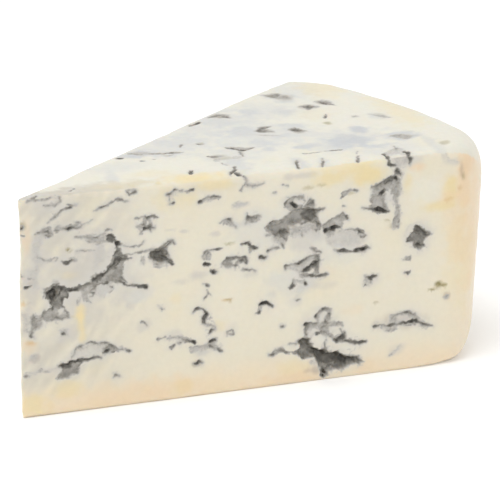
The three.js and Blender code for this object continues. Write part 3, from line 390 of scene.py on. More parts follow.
     (51.6, 30.2)]),
    "fin side": (.45, .25, [(59.8, 26.4), (61.2, 26.5), (61.2, 23.4), (61, 22.4), (60.3, 22.4),
     (60.4, 24.6)]),
    "fin wedge": (.74, .2, [(57.4, 23.2), (57.8, 23.8), (59.2, 24.5), (60.2, 25.4), (61.1, 25),
     (60.6, 24), (59, 23.3), (58, 22.9)]),
    "tear seams": (.5, .3, [(60.4, 10), (61.4, 10.6), (62.6, 10.2), (63.6, 9.4), (64.2, 8.8), (63.4, 9.2),
     (62.4, 9.7), (61.4, 9.8)]),
    "tear fold": (.46, .3, [(61.6, 11.2), (62.4, 11.9), (63.6, 11.8), (62.6, 11), (62.2, 10.4)]),
    "spill sheet": (.38, .4, [(71.9, 38.4), (74.8, 39), (76.4, 39.6), (76.5, 37.2), (75.9, 36.4),
     (75, 37.3), (72.2, 36.8)]),
    "spill head": (.66, .3, [(76.6, 40.2), (76.9, 41.4), (77.4, 41.9), (78.1, 41.2), (77.8, 40.4)]),
    "star fuzz": (.13, 1, [(79.2, 29.8), (81.6, 30.6), (83.4, 29.4), (84.8, 28.4), (84, 26.4),
     (84.2, 24.4), (82, 24), (79.8, 25.8), (78.2, 27)]),
    "spot right": (.42, .35, [(87.2, 14.8), (88.2, 14.7), (88.1, 14), (87.4, 14.1)]),
    "dot middle": (.2, .5, [(52.8, 12.8), (53.6, 13.4), (54.4, 12.6), (53.8, 12)]),
    "dot low": (.24, .4, [(28.2, 20.2), (29.2, 20), (29.9, 18.9), (29.2, 18.8), (28.6, 19.4)]),
    "grey wisp": (.24, .5, [(43.4, 38.2), (44.4, 38.9), (46.6, 38.4), (46.2, 37.9), (44, 37.6)]),
}

# Deep openings: (tone, deepest, outline).
NEAR_PITS = {
    "well": (.74, 1.3, [(6, 25.4), (6.6, 26.1), (8.6, 26.4), (9.4, 26), (9, 25), (8.4, 24), (7.9, 23),
     (7.1, 22.7), (6.7, 23.7), (6, 24.4)]),
    "box": (.58, 1.7, [(27, 31.2), (28.6, 31.1), (29.8, 31.7), (30.6, 32.6), (31.4, 32.6), (30.4, 31.6),
     (30.2, 30.4), (31, 28.9), (31.7, 28), (30.2, 28.4), (28.6, 28.6), (27.6, 29.2), (26.9, 29.6)]),
    "cavern": (.36, 1.4, [(50.2, 33), (51, 33.7), (52.2, 34.2), (54, 34.4), (55, 35.4), (55.4, 36.1),
     (58, 36), (60.4, 35.8), (61, 34.8), (61.3, 33.2), (61.8, 32), (61, 31.2), (60.2, 32.6), (59.4, 33),
     (57.2, 32.8), (55.4, 32.2), (55.2, 30.9), (54.4, 30), (53.2, 30.6), (51.8, 31.2), (50.4, 32.2)]),
    "tear": (.45, 1.8, [(56.8, 9.3), (58.4, 9.9), (59.6, 9.4), (59.8, 8), (61, 7.3), (62.4, 7.2),
     (62.9, 6.2), (64.4, 6.4), (65.1, 6.5), (66.4, 5.1), (67.6, 4.3), (69.4, 4.3), (70.4, 3), (69.8, 2.6),
     (68.4, 3.2), (66.2, 2.2), (64.4, 2.4), (63.2, 2), (63.2, 1.2), (62.4, .8), (61.5, 1.4), (61.6, 2.4),
     (60.7, 4.2), (60, 5.6), (58.4, 5), (57.2, 5.7), (55.4, 7), (57.2, 7.4), (57.5, 8.4)]),
    "star": (.62, 1.2, [(80.4, 28.6), (81, 29.9), (82.2, 29.4), (83, 28.4), (84.4, 27.6), (83.2, 27),
     (82.8, 26.2), (83.4, 24.9), (82.4, 24.6), (81, 25.3), (80.4, 26.5), (78.9, 26.8), (79.8, 27.6)]),
}

# Darker floors inside the openings, partly the mould and partly painted shade of the hollows: (tone,
# softness of the edge, outline).
NEAR_FLOORS = {
    "cavern dark": (.7, .5, [(57.6, 34.4), (58.6, 35.3), (60.8, 35.3), (61, 33.6), (59.8, 32.9),
     (58.2, 33.1)]),
    "cavern left": (.64, .5, [(52.4, 31.3), (53.6, 31.9), (55.2, 31.9), (54.9, 31), (54.2, 30.4),
     (53.2, 30.6)]),
    "cavern strip": (.46, .4, [(50.6, 32.7), (52.4, 33.4), (54.6, 33.8), (56, 33.6), (54.4, 32.8),
     (52.2, 32.3)]),
    "tear neck": (.64, .4, [(57.2, 8.8), (58.4, 9.7), (59.6, 9.2), (60.4, 7.6), (61.4, 7.2), (60.8, 5.6),
     (59.2, 6.2), (57.8, 7.4)]),
    "tear heart": (.86, .45, [(59.4, 7.4), (62.4, 6.9), (63, 6.1), (64.8, 6.3), (66.2, 5.1), (67.6, 4.3),
     (69.4, 4.1), (69, 3.3), (68, 3), (66.4, 2.9), (64.8, 3.2), (62.6, 3.4), (61.2, 4.2), (60.6, 5.2)]),
    "box dark": (.78, .5, [(27.2, 30.9), (29.4, 30.9), (29.8, 29.8), (29, 29.2), (27.2, 30)]),
    "well streak": (.94, .3, [(6.4, 25.2), (7.4, 25.9), (8.2, 25.2), (7.9, 23.8), (7.3, 22.9),
     (6.9, 23.8)]),
    "star rim": (.72, .4, [(81, 28.4), (82.4, 28.8), (84, 27.7), (82.8, 27.4), (81.8, 27.8)]),
    "star foot": (.78, .3, [(80.7, 26), (82.2, 26.2), (83.2, 24.9), (81.4, 25.2)]),
    "low heart": (.8, .3, [(8.3, 10.2), (8.8, 10.9), (11, 11.1), (13, 11.1), (11.8, 10.4), (10.6, 9.6),
     (9.6, 9.6)]),
    "branch core": (.8, .35, [(15.3, 26.4), (15.5, 27.6), (16.8, 27.8), (18.4, 28.8), (20, 30.6),
     (21, 30.6), (20.6, 29.5), (19.4, 28.6), (18, 27.3), (16.4, 26.1)]),
    "cavern top": (.52, .25, [(55.2, 35.2), (55.6, 36), (60.4, 35.9), (60.6, 35.2), (57.6, 35.3)]),
    "cavern fold": (.46, .3, [(60.2, 33), (61.2, 33.2), (61.8, 31.8), (61.2, 30.6), (60.5, 31),
     (60.6, 32)]),
}

# Pale paste left standing inside the mould: (softness of the edge, outline).
NEAR_LUMPS = {
    "tear left": (.25, [(54.8, 8), (56, 8.6), (57.2, 8.4), (57.1, 7.5), (56.2, 7), (55, 7.3)]),
    "tear middle": (.2, [(59.4, 8.8), (60.2, 9.6), (61.6, 9.9), (62.3, 9.2), (62.3, 7.7), (61.9, 7.1),
     (61.3, 7.7), (60.8, 7.3), (60.2, 7.8), (59.7, 8)]),
    "tear low": (.2, [(59.3, 10.3), (59.8, 11.4), (60.9, 11.4), (61.1, 10.6), (60.2, 10)]),
    "tear top": (.2, [(63.2, 10), (63.8, 11.4), (65.2, 11), (66.2, 10.4), (65.8, 9.5), (64.4, 9.4)]),
    "tear right": (.2, [(62.8, 7), (62.7, 9.2), (63.4, 9.5), (64.2, 8.6), (64.6, 6.7), (64.1, 6.2),
     (63.6, 6.6), (63.2, 6.1)]),
    "tear rest": (.25, [(64.7, 6.9), (65.4, 7.6), (67.4, 7.2), (69.4, 6.9), (69.8, 5.2), (68.2, 4.8),
     (66.6, 5.4), (65.4, 6.4)]),
    "ring": (.25, [(61.1, 13.9), (61.9, 14.5), (62.9, 14.3), (62.4, 13), (61.8, 12.2), (61.1, 12.8)]),
    "cap": (.25, [(56, 37.9), (57.8, 37.7), (58.3, 36.9), (57.2, 36.7), (56.4, 37.2)]),
    "oval": (.15, [(43.2, 27.2), (44.2, 27.4), (45, 27.1), (44, 26.5), (43.4, 26.5)]),
    "spill": (.25, [(75, 37), (75.7, 37.8), (76, 37.4), (75.6, 36.6)]),
    "arc": (.3, [(77.4, 11.7), (79.9, 11.8), (80.5, 10.8), (79.4, 10.5), (77.6, 10.4)]),
    "post": (.15, [(26.2, 37.3), (26.7, 37.3), (26.7, 36.5), (26.2, 36.5)]),
    "foot": (.3, [(8.5, 21.7), (9.7, 21.7), (9.8, 20.8), (8.6, 20.6)]),
}

# Soft stains, laid in this order, two of the hazes partly painted shade: (colour, [(along, up, reach along,
# reach up, strength), ...]).
NEAR_STAINS = [
    # the third and fourth hazes run down the narrow end: partly grey haze, partly painted shade along its
    # crease
    ("haze", [(17.8, 25.2, 2, 1.2, .8), (17, 32.6, 1.6, 2, .7), (4.2, 33.5, 1.8, 5, .8),
     (3.2, 26, 1.8, 7, .7), (7, 14.5, 4, 3, .3), (10, 17.2, 2.4, 2.2, .6), (36.6, 25.2, 2.2, 1, .7),
     (33, 24.2, 2.5, .7, .4), (37, 9.6, 2.4, 1.2, .9), (25.6, 16.4, 1.5, 1.4, .6), (31.8, 14, 2, .9, .5),
     (45.2, 34.4, 2, .8, .7), (45.4, 38.2, 2, .7, 1), (47, 24, 1.6, .8, .5), (40.2, 33, 1.2, .6, .6),
     (31, 34.9, 1.3, .4, .6), (33.5, 34.3, 1, .4, .6), (67.8, 28.6, 3.6, 2, .7), (56, 38, 3, 1.2, .5),
     (60, 31.6, 2.2, 2.4, .6), (59.2, 21, 2.2, 2.2, .5), (56.6, 17.2, 1.6, 1.1, .5),
     (61.5, 12, 4.2, 3.4, .55), (74.8, 36.4, 3, 3.4, .7), (79, 10.8, 3.4, 1.2, .6),
     (77.4, 4.8, 2, 1.3, .4), (81.6, 27.2, 3.4, 3.4, .4), (51.8, 19.4, 1.2, .9, .4),
     (72, 19.6, 2, 1.5, .4), (43.4, 13.6, 1.4, 1.6, .3), (80, 43, 3.4, 1.6, .5), (89, 41.6, 2.4, .9, .5),
     (87, 43.4, .8, 1.6, .6), (14, 12.6, 3.6, 1.6, .4), (5.6, 9.9, 3.4, .7, .4), (22.8, 20.8, 1.2, 1, .5),
     (13, 24.4, 2.4, 1.6, .6)]),
    ("mist", [(24.2, 22.8, 3, 1.8, .6), (17.8, 24.6, 2.4, 1.6, .7)]),
    ("haze", [(23.6, 26.4, 3, 3, .25), (39, 42.6, 9, 1.4, .3), (11, 36.4, 6, 2.6, .4),
     (20.5, 41, 3.5, 1.6, .3), (6.6, 42.4, 5, 2.2, .6), (14, 21, 6, 5, .45), (12, 29, 10, 6, .5)]),
    ("rust", [(1.6, 23.7, .8, .6, .6), (91.2, 39.6, 1.2, 1.8, .5)]),
    ("peach", [(89.6, 31, 3, 9, .35)]),
    ("olive", [(76.6, 30.4, 1.2, .8, .4), (73, 38.2, 1.6, .6, .3), (1.5, 39, 1, .9, .7)]),
    ("rust", [(3.2, 15.5, 1.3, .5, .4)]),
    ("haze", [(21.6, 27, 5, 8, .4), (16, 30, 7, 6, .35)]),
    ("mist", [(49, 33, 7, 5, .4), (62, 27, 8, 4, .4), (55, 21.6, 6, 3.4, .5)]),
    ("haze", [(58, 30, 6, 3, .5), (19, 37.5, 4, 2, .3), (62, 19.8, 3, .9, .3), (57, 42.6, 4, .8, .6)]),
    ("yellow", [(12.9, 19.6, 1.1, 2.9, 1), (13.3, 15.6, .8, 1.6, .7), (10.6, 28.4, 2.2, 1, .3),
     (72, 41, 5, 2.2, 1), (63.5, 41.2, 4, 1.6, .7), (68, 43, 8, 1.6, .5), (32, 41.2, 5, 2.4, .4),
     (40.6, 42.8, 4.6, 1.4, .7), (10.4, 5.6, 3.4, 2, .6), (33.4, 2.8, 2.6, 1.6, .7),
     (31.6, 21, 1.6, 1.2, .3), (40.8, 14.2, 2, 1.4, .4), (88.4, 36.4, 1.8, 3, 1), (3, 3, 4, 3, .7),
     (56, 4, 4, 2, .4), (79.4, 38.8, 1.2, 2.4, .6), (86.2, 33.2, 3.8, 1.1, .9)]),
    ("peach", [(88, 34.6, 2.4, 1.6, .4), (81, 41.6, 2, 1.2, .7), (91.2, 36, 1.8, 5, .7),
     (2.6, 14.8, 2, 1.8, .4), (2.6, 36.6, 1, 4, .5), (68.6, 14, 2.6, 1.6, .25), (62, 22.6, 3, 2, .2),
     (71, 2.4, 2.2, 1.4, .4), (37.6, 1, 1.2, .8, .4), (55, 1.4, 9, 1.6, .5)]),
    ("pale", [(83, 36.8, 3.7, 3.3, .8), (67.6, 6.2, 2.4, 1.2, .8), (62, 9.4, 2.6, 1.6, .8),
     (6.4, 17.2, 2.2, 2.8, .3), (24.6, 28.2, 2.2, 2.2, .5), (54.5, 15, 4, 3, .4), (36, 30, 4, 3, .2),
     (14.6, 12.8, 1.9, .9, .6)]),
    ("olive", [(10.8, 33.3, .55, .35, 1), (1.5, 39, .6, .5, 1), (8.6, 19.9, 2.4, .4, .5),
     (43, 30.7, 1.3, .35, .4), (36.4, 7.2, 1.1, .6, .8), (47.8, 35.2, .9, .3, .7),
     (67.4, 38, 1.4, .5, .5), (77, 30.4, .9, .6, .9), (73, 15, .8, .3, .5), (85.9, 17.2, .9, .8, 1),
     (84.6, 16.3, .9, .3, .7), (87.1, 16.9, .7, .35, .9)]),
    ("umber", [(87.8, 14.5, .9, .8, .6)]),
    ("olive", [(31.2, 40.2, .5, .4, .6), (39.9, 25.4, .7, .5, .5), (47, 41.9, 1.8, .4, .4),
     (59, 40, 1.4, .4, .3), (75.4, 31.5, .9, .3, .4), (61.6, 40.2, 1, .3, .3), (91.2, 38.4, .5, .8, .5)]),
    ("rust", [(42.6, 19.4, 1.4, .3, .6)]),
    ("olive", [(42.8, 19.4, 1, .3, .3)]),
    ("rust", [(2.9, 15.8, 1, .5, .6), (87.9, 34.3, 1.1, .4, .4)]),
    ("umber", [(90.9, 39.8, .6, 1.7, .5)]),
    ("rust", [(92.4, 41, 1, 2.2, .25), (90.3, 36.2, .6, .5, .4), (36.8, 10.7, 1.8, .4, .3)]),
    ("umber", [(3.7, 12.5, 1.2, .9, .6), (3.2, 27.6, .8, .5, .3), (61, 2.8, 2.4, .9, .5),
     (2.4, 23.8, 1, .3, .4), (78.6, 10.6, 5.5, 1.6, .4), (64, 4.6, 4, 2, .3)]),
    ("peach", [(94.4, 27, 4.2, 15, .6), (92.8, 42, 2.6, 4, .9)]),
    ("yellow", [(70.5, 41, 4, 3, .6)]),
    ("peach", [(30, 3.4, 9, 2.6, .35)]),
    ("yellow", [(90.4, 22, 4, 12, .3)]),
    ("peach", [(20, 3, 12, 3.4, .4)]),
]

# ---- what is drawn on the top, in millimetres along the near cut and away from it ----
# The tables hold what the near cut's do.
TOP_BLACK = [
    [(36.8, 4.2, .38), (37.2, 5, .54), (37.6, 5.8, .34)],
    [(46, 5.2, .26), (45.4, 3.8, .28), (44.4, 2.2, .4), (43.8, 1.6, .26)],
    [(45, 1.8, .34), (45.8, .4, .46)], [(44.6, 8.4, .14), (44.9, 6.6, .12)],
    [(48.7, 17.7, .3), (49.3, 16.6, .46), (50.4, 15.6, .46), (51.3, 14.9, .34), (52.6, 15.1, .3),
     (53.6, 15.6, .16)],
    [(50.6, 14.2, .25), (50, 12.6, .2), (49.9, 10.8, .15)],
    [(33.8, 19.2, .2), (35.6, 18.5, .26), (37.2, 18, .44), (38.6, 17.8, .34), (39.8, 17.5, .16)],
    [(26.6, 18.2, .26), (27.8, 18, .34)], [(30.6, 15.3, .25), (31.1, 15.2, .25)],
    [(33.2, 15.6, .2), (33.6, 15.4, .2)], [(30, 20.2, .2), (32.4, 19.6, .2)],
    [(40.6, 20.8, .2), (41.2, 22, .28)], [(44.2, 21.4, .24), (45.2, 20.9, .28)],
    [(46.8, 32.8, .34), (49.4, 34.2, .36)], [(52.2, 36.6, .26), (54.4, 37.6, .3), (55.6, 36, .36)],
    [(73.2, 28.2, .26), (74.4, 30.4, .16)], [(58.6, 5, .2), (58.2, 4, .34), (57.4, 1.2, .2)],
    [(63.6, 4.4, .15), (62.9, 2.2, .26), (62.2, .6, .16)], [(71.3, 5.8, .18), (70.7, 4.4, .16)],
    [(70.5, 3.2, .24), (69.4, .6, .28)], [(79.3, 6.6, .12), (79.1, 5.2, .2), (78.5, 3.6, .12)],
    [(76.2, 3.3, .2), (75.6, 2.2, .4), (75.6, .8, .46)],
    [(79.8, 2.9, .36), (80.2, 1.8, .5), (79.9, .7, .42)], [(77, 3.6, .1), (78.6, 3.2, .1)],
    [(61.2, 8.4, .14), (64.6, 8, .12)], [(65.6, 8.3, .12), (68.8, 7.9, .26)],
    [(12.1, 2.6, .25), (13.3, 3.6, .24)], [(3.8, 1, .25), (5.3, 1.9, .24)],
    [(8.6, .8, .24), (9, 1.6, .15)], [(43.6, 13.2, .24), (45, 12.7, .24), (46.4, 12.6, .14)],
    [(35.6, 17, .15), (36.6, 16.5, .3), (37.8, 16.8, .16)],
]
TOP_PATCHES = {
    "edge": (.24, .6, [(29.8, 20.6), (32.6, 20.8), (34.4, 19.2), (37.8, 18.4), (36, 17.4), (33.6, 18),
     (31, 18.4)]),
    "groove": (.24, .3, [(48.4, 17.9), (49.8, 17.6), (51.6, 16.2), (53.8, 15.6), (52.4, 14.3),
     (50.6, 13.4), (49.8, 15.2)]),
    "nook": (.26, .6, [(43.4, 13.6), (46.6, 13.2), (45.6, 11.6), (44.6, 9.4), (43.6, 9), (43.8, 11.4)]),
    "nook foot": (.2, .6, [(46.4, 11.2), (49.6, 11.4), (49.4, 9.6), (47.2, 9.8)]),
    "curl": (.56, .8, [(57.6, 25), (59.2, 26.8), (61.5, 26.6), (59.9, 25.2), (60.4, 23.1), (58.4, 23.6)]),
    "hook": (.34, .9, [(82.2, 27.3), (84.2, 26), (85.6, 23.6), (84, 24)]),
    "scoop": (.68, 1.1, [(63.6, 23.5), (65.5, 24.1), (66.9, 21.4), (64.4, 21.7)]),
    "dimple": (.5, 1.4, [(67.2, 46.6), (70.2, 46.8), (72, 43), (70.3, 42), (68.4, 44.2)]),
    "pair": (.64, 1, [(71.4, 36.6), (73, 37), (74.4, 35.4), (72.2, 34.6)]),
    "pair top": (.7, 1.1, [(75.3, 38.8), (77.2, 38.1), (78.3, 34.8), (76.8, 36.3)]),
    "flank": (.34, .7, [(51.6, 36.2), (54.6, 38), (56.2, 36.6), (56.2, 34.4), (54.6, 35.2)]),
    "cloud": (.34, 1.2, [(80.4, 12.8), (83.1, 13.2), (85.8, 10.8), (82.9, 9.4)]),
    "over": (.22, .6, [(76, 3.2), (79.6, 6), (80.6, 2.4), (79.6, .4), (77.8, 1.4), (75.2, .8)]),
    "streak": (.2, .7, [(55, 24), (59, 22.2), (62.4, 19.6), (58.6, 20.9)]),
    "tiny": (.3, .8, [(78.4, 28), (79.6, 27.6), (79.8, 26.6), (78.8, 26.8)]),
}
TOP_STAINS = [
    ("veil", [(6, 1.5, 10, 4, 1), (18, 2.4, 12, 3.4, .8)]),
    ("mist", [(40, 22, 12, 7, .7), (48, 29, 9, 7, .5), (58, 22, 12, 9, .7), (55, 33, 8, 7, .8),
     (64, 36, 9, 7, .6), (72, 14, 11, 8, .6), (48, 12, 7, 6, .6), (74, 47, 6, 6, .5), (25, 13, 8, 3, .5),
     (78, 6, 9, 4, .4)]),
    ("film", [(31.6, 19.2, 3.8, 2.4, 1), (30.6, 19.6, 2.4, 1.6, .8), (37.5, 17.2, 3, 1.8, .6),
     (42, 24, 6, 5, .3), (47, 29, 5, 5, .15), (52.5, 33, 4, 4.5, .35)]),
    ("mist", [(67, 11, 6, 4, .6)]),
    ("film", [(56, 26, 5, 3, .55), (60.6, 37, 2.4, 2.6, .6), (66.8, 34.6, 2.6, 3, .6),
     (65.6, 25, 3.4, 3, .6), (62, 20.4, 3, 1.8, .5), (56, 17.6, 3, 3.4, .5), (72.4, 12.4, 5.5, 3.6, 1),
     (76.6, 18.4, 1.7, 2.4, 1), (63.4, 12.4, 3.2, 1.8, .8), (82.6, 12, 3.8, 2.6, 1), (84, 12, 3, 2, .6),
     (73.6, 13.4, 4.4, 3.6, .6), (55.6, 13, 1.8, 1.6, .7), (76.4, 8, 4.4, 1.6, .8), (69, 9, 5, 1.6, .4),
     (47, 6, 2.6, 5, .5), (58.4, 3.4, 1.6, 3.4, .6), (63.2, 2.4, 1.4, 2.8, .6), (83.6, 26, 2, 2.4, .6),
     (86.6, 5, 1.6, 5, .4), (70.4, 43.6, 3.4, 4, .6), (22, 7, 1.8, 4.4, .4), (5, 1.6, 3.4, 1.4, .4)]),
    ("yellow", [(37, 2.4, 8, 2.2, .8), (22, 3, 7, 2.4, .3), (29, 7, 4, 3, .25), (79.6, 47, 5, 7, .4),
     (88.6, 28, 4.5, 14, .4), (72, 31, 5, 5, .2)]),
    ("olive", [(89, 4.8, 1.4, 1.2, .35), (72.4, 36.4, 1.4, 1.2, .6), (76.4, 37.8, 1.2, 1.5, .6),
     (70.6, 43.8, 1.8, 2.4, .4), (72.6, 24.8, .8, 1.2, .5), (45.6, 12, 2, 1.8, .3),
     (84, 26, 1.2, 1.8, .2), (44.6, 21.2, 1, .8, .4)]),
    # partly painted highlight: the pale spot lightens the middle of the over patch, partly pale paste and
    # partly a glint
    ("pale", [(77.6, 2.4, 1.6, 1, .9)]),
]

# The middles of groups of near veins that the far cut repeats, and how far a group reaches.
REPEATED = [
    (81.4, 27), (19, 31), (60, 24), (79, 10.5), (11, 10), (64.5, 32), (44, 27), (8, 24), (67, 38.2),
    (28, 30), (10.5, 37.5), (69, 26.2), (57, 36),
]
REPEAT_REACH = 6.5
# The solid's openings on the far cut: one to each cell of a grid, strayed from the cell's own place.
FAR_CELLS = (5, 4)
FAR_FIRST, FAR_CELL, FAR_STRAY = (14, 9), (14, 8), (8.4, 4.8)
FAR_SEED = 7
SHAPE_DRAWS = 13  # random numbers that the solid takes for an opening's shape

# ---- colours, in display values from 0 to 255 ----
COLOUR = {
    # the top's paste carries a painted cool cast of the light falling on the top, over its own colour
    "paste": (227, 220, 200), "top paste and cool cast": (225, 222, 208), "rind": (233, 217, 190),
    "veil": (200, 194, 180), "haze": (201, 196, 188), "mist": (209, 209, 205), "film": (195, 197, 198),
    "glow": (211, 209, 203), "yellow": (230, 213, 168), "peach": (232, 207, 173),
    "pale": (228, 223, 207), "olive": (140, 128, 84), "rust": (208, 174, 122), "umber": (166, 149, 132),
}
# The mould's colours, from tone 0 to tone 1; the painted shade in the tone takes them too.
MOULD = [(0.0, (205, 201, 194)), (0.2, (189, 185, 178)), (0.4, (155, 151, 143)), (0.6, (113, 110, 102)),
         (0.8, (73, 69, 62)), (1.0, (34, 32, 28))]


# ---- drawing in maps ----
def noise(a, b, cell, seed):
    """Smooth noise between -1 and 1 over a plane, with bumps about one cell wide."""
    table = np.random.default_rng(seed).uniform(-1, 1, (256, 256)).astype(np.float32)
    a, b = a / cell + 31.7, b / cell + 57.3
    i, j = np.floor(a).astype(int), np.floor(b).astype(int)
    s, t = a - i, b - j
    s, t = s * s * (3 - 2 * s), t * t * (3 - 2 * t)
    i0, i1, j0, j1 = i & 255, (i + 1) & 255, j & 255, (j + 1) & 255
    low = table[i0, j0] * (1 - s) + table[i1, j0] * s
    high = table[i0, j1] * (1 - s) + table[i1, j1] * s
    return low * (1 - t) + high * t


def smooth(value, low, high):
    """0 below low, 1 above high, and an S-curve between; low may be the larger."""
    t = np.clip((value - low) / (high - low), 0, 1)
    return t * t * (3 - 2 * t)


def segment_distance(a, b, start, end):
    """Distance to a straight line between two points, and how far along it the nearest point lies."""
    da, db = end[0] - start[0], end[1] - start[1]
    along = np.clip(((a - start[0]) * da + (b - start[1]) * db) / max(da * da + db * db, 1e-9), 0, 1)
    return np.hypot(a - start[0] - along * da, b - start[1] - along * db), along


class FaceMap:
    """Maps over one cut: the mould's tone with its painted shade, its glow round it, and how deep the
    cheese is opened.
    """

    def __init__(self, wide, high, seed):
        self.seed = seed
        across = np.arange(-MAP_EDGE, wide + MAP_EDGE, MAP_STEP, dtype=np.float32)
        up = np.arange(-MAP_EDGE, high + MAP_EDGE, MAP_STEP, dtype=np.float32)
        self.a, self.b = np.meshgrid(across, up, indexing="ij")
        # lines and, more so, patches are ragged because they are drawn on a rumpled plane
        bumps = [[noise(self.a, self.b, cell, seed + 40 + 2 * k + axis) for axis in (0, 1)]
                 for k, cell in enumerate((1.5, 0.6, 0.32))]
        self.line_a = self.a + 0.12 * bumps[0][0] + 0.12 * bumps[1][0] + 0.1 * bumps[2][0]
        self.line_b = self.b + 0.12 * bumps[0][1] + 0.12 * bumps[1][1] + 0.1 * bumps[2][1]
        self.patch_a = self.line_a + 0.1 * bumps[0][0] + 0.08 * bumps[1][0] + 0.06 * bumps[2][0]
        self.patch_b = self.line_b + 0.1 * bumps[0][1] + 0.08 * bumps[1][1] + 0.06 * bumps[2][1]
        self.fray = noise(self.a, self.b, 0.9, seed + 4)
        self.drift = noise(self.a, self.b, 2.4, seed + 5)
        self.grain = noise(self.a, self.b, 0.3, seed + 6) + 0.5 * noise(self.a, self.b, 0.6, seed + 7)
        self.tone = np.zeros(self.a.shape, np.float32)
        self.deep = np.zeros(self.a.shape, np.float32)

    def window(self, points):
        """The part of the map round some points."""
        places = np.array([p[:2] for p in points])
        low = np.floor((places.min(0) - WINDOW + MAP_EDGE) / MAP_STEP).astype(int).clip(0)
        high = np.ceil((places.max(0) + WINDOW + MAP_EDGE) / MAP_STEP).astype(int).clip(0)
        return np.s_[low[0]:high[0], low[1]:high[1]]

    def line(self, points, strength):
        """A frayed groove, darker where it is wider, with a soft grey round it, partly mould and partly
        painted shadow.
        """
        w = self.window(points)
        a, b, fray, grain = self.line_a[w], self.line_b[w], self.fray[w], self.grain[w]
        for start, end in zip(points, points[1:]):
            distance, along = segment_distance(a, b, start, end)
            radius = start[2] + (end[2] - start[2]) * along
            distance = distance - 0.85 * radius * (1 + 0.45 * fray) + 0.06 * grain
            tone = (0.4 + 0.42 * smooth(radius, 0.08, 0.45)) * smooth(distance, 0.24, -0.12)
            tone = tone * (0.95 + 0.3 * fray + 0.2 * grain)
            # painted shadow: the soft grey falls off round the groove, partly the mould's halo and partly
            # the shade of its lip
            shadow = 0.24 * np.exp(-np.maximum(distance, 0) / 0.4) * (1 + 0.4 * self.drift[w])
            np.maximum(self.tone[w], strength * np.maximum(tone, shadow), out=self.tone[w])
            np.maximum(self.deep[w], (0.2 + radius) * smooth(distance, 0.15, -0.25), out=self.deep[w])

    def outline(self, points):
        """The window round a closed outline and the distance to it there, less than 0 inside."""
        w = self.window(points)
        a, b = self.patch_a[w], self.patch_b[w]
        distance = np.full(a.shape, 9.0, np.float32)
        inside = np.zeros(a.shape, bool)
        for start, end in zip(points, points[1:] + points[:1]):
            np.minimum(distance, segment_distance(a, b, start, end)[0], out=distance)
            if start[1] != end[1]:
                crossing = start[0] + (b - start[1]) * (end[0] - start[0]) / (end[1] - start[1])
                inside ^= ((start[1] > b) != (end[1] > b)) & (a < crossing)
        return w, np.where(inside, -distance, distance)

    def patch(self, tone, soft, deepest, points):
        """A patch of mould, feathered here and rimmed there, with painted shade under its upper edge, sunk
        to a depth.
        """
        w, distance = self.outline(points)
        drift, fray = self.drift[w], self.fray[w]
        feather = soft * (1.3 + 1.1 * drift)
        fill = tone * (0.9 + 0.16 * drift) * smooth(distance, feather, -feather)
        rim = np.exp(-((distance + 0.12) / 0.2) ** 2) * np.clip(0.4 + 0.8 * fray - 0.6 * drift, 0, 1)
        rim *= smooth(soft, 0.6, 0.35)
        # painted shade: the mould just under an upper edge is darkened, as the lip overhanging it would
        # shade it
        overhang_shade = np.clip(np.gradient(distance, MAP_STEP, axis=1) + 0.2, 0, 1)
        fill = fill * (0.92 + 0.5 * overhang_shade * smooth(distance, -0.9, -0.1))
        np.maximum(self.tone[w], np.maximum(fill, min(0.9, tone + 0.2) * rim), out=self.tone[w])
        np.maximum(self.deep[w], deepest * smooth(distance, 0.1, -0.9), out=self.deep[w])

    def lump(self, soft, points):
        """Paste left standing: the mould and the opening are mostly taken back."""
        w, distance = self.outline(points)
        self.tone[w] *= 1 - 0.68 * smooth(distance, soft, -soft)
        self.deep[w] *= 1 - 0.9 * smooth(distance, soft, -soft)

    def draw(self, lines, strength, patches, pits, floors, lumps):
        """Draws a cut's tables, the lines last, then the glow, faint wisps and a mottle over all of it."""
        for tone, soft, points in patches.values():
            self.patch(tone, soft, 0.9 * tone, points)
        for tone, depth, points in pits.values():
            self.patch(tone, 0.28, depth, points)
        # the floors deepen the mould in the openings' middles, partly as painted shade of the hollows
        for tone, soft, points in floors.values():
            self.patch(tone, soft, 0.0, points)
        for soft, points in lumps.values():
            self.lump(soft, points)
        for points in lines:
            self.line(points, strength)
        self.glow = blur(np.minimum(1.6 * self.tone, 1), 1.0 / MAP_STEP)
        a, b = self.line_a, 1.6 * self.line_b
        crease = np.abs(noise(a, b, 2.2, self.seed + 30) + 0.5 * noise(a, b, 1.0, self.seed + 31))
        wisps = 0.2 * smooth(crease, 0.15, 0.0) * smooth(self.glow, 0.05, 0.25) * (0.8 + 0.6 * self.drift)
        self.tone = np.maximum(self.tone, wisps)
        mottle = noise(self.a, self.b, 0.8, self.seed + 20)
        mottle = mottle + 0.6 * noise(self.a, self.b, 0.35, self.seed + 21)
        self.tone += 0.07 * mottle * smooth(self.tone, 0.08, 0.35)

    def relief(self):
        """How deep the cheese is opened below the cut."""
        a, b, seed = self.a, self.b, self.seed + 10
        rough = 0.3 * noise(a, b, 1.4, seed) + 0.25 * noise(a, b, 0.7, seed + 1)
        rough = rough + 0.12 * noise(a, b, 0.4, seed + 2)
        return 0.8 * self.deep + rough * np.minimum(self.deep, 0.9)

    def sample(self, field, a, b):
        """A field's value at places on the cut."""
        i = np.clip((a + MAP_EDGE) / MAP_STEP, 0, field.shape[0] - 1.001)
        j = np.clip((b + MAP_EDGE) / MAP_STEP, 0, field.shape[1] - 1.001)
        i0, j0 = i.astype(int), j.astype(int)
        s, t = i - i0, j - j0
        low = field[i0, j0] * (1 - s) + field[i0 + 1, j0] * s
        high = field[i0, j0 + 1] * (1 - s) + field[i0 + 1, j0 + 1] * s
        return low * (1 - t) + high * t


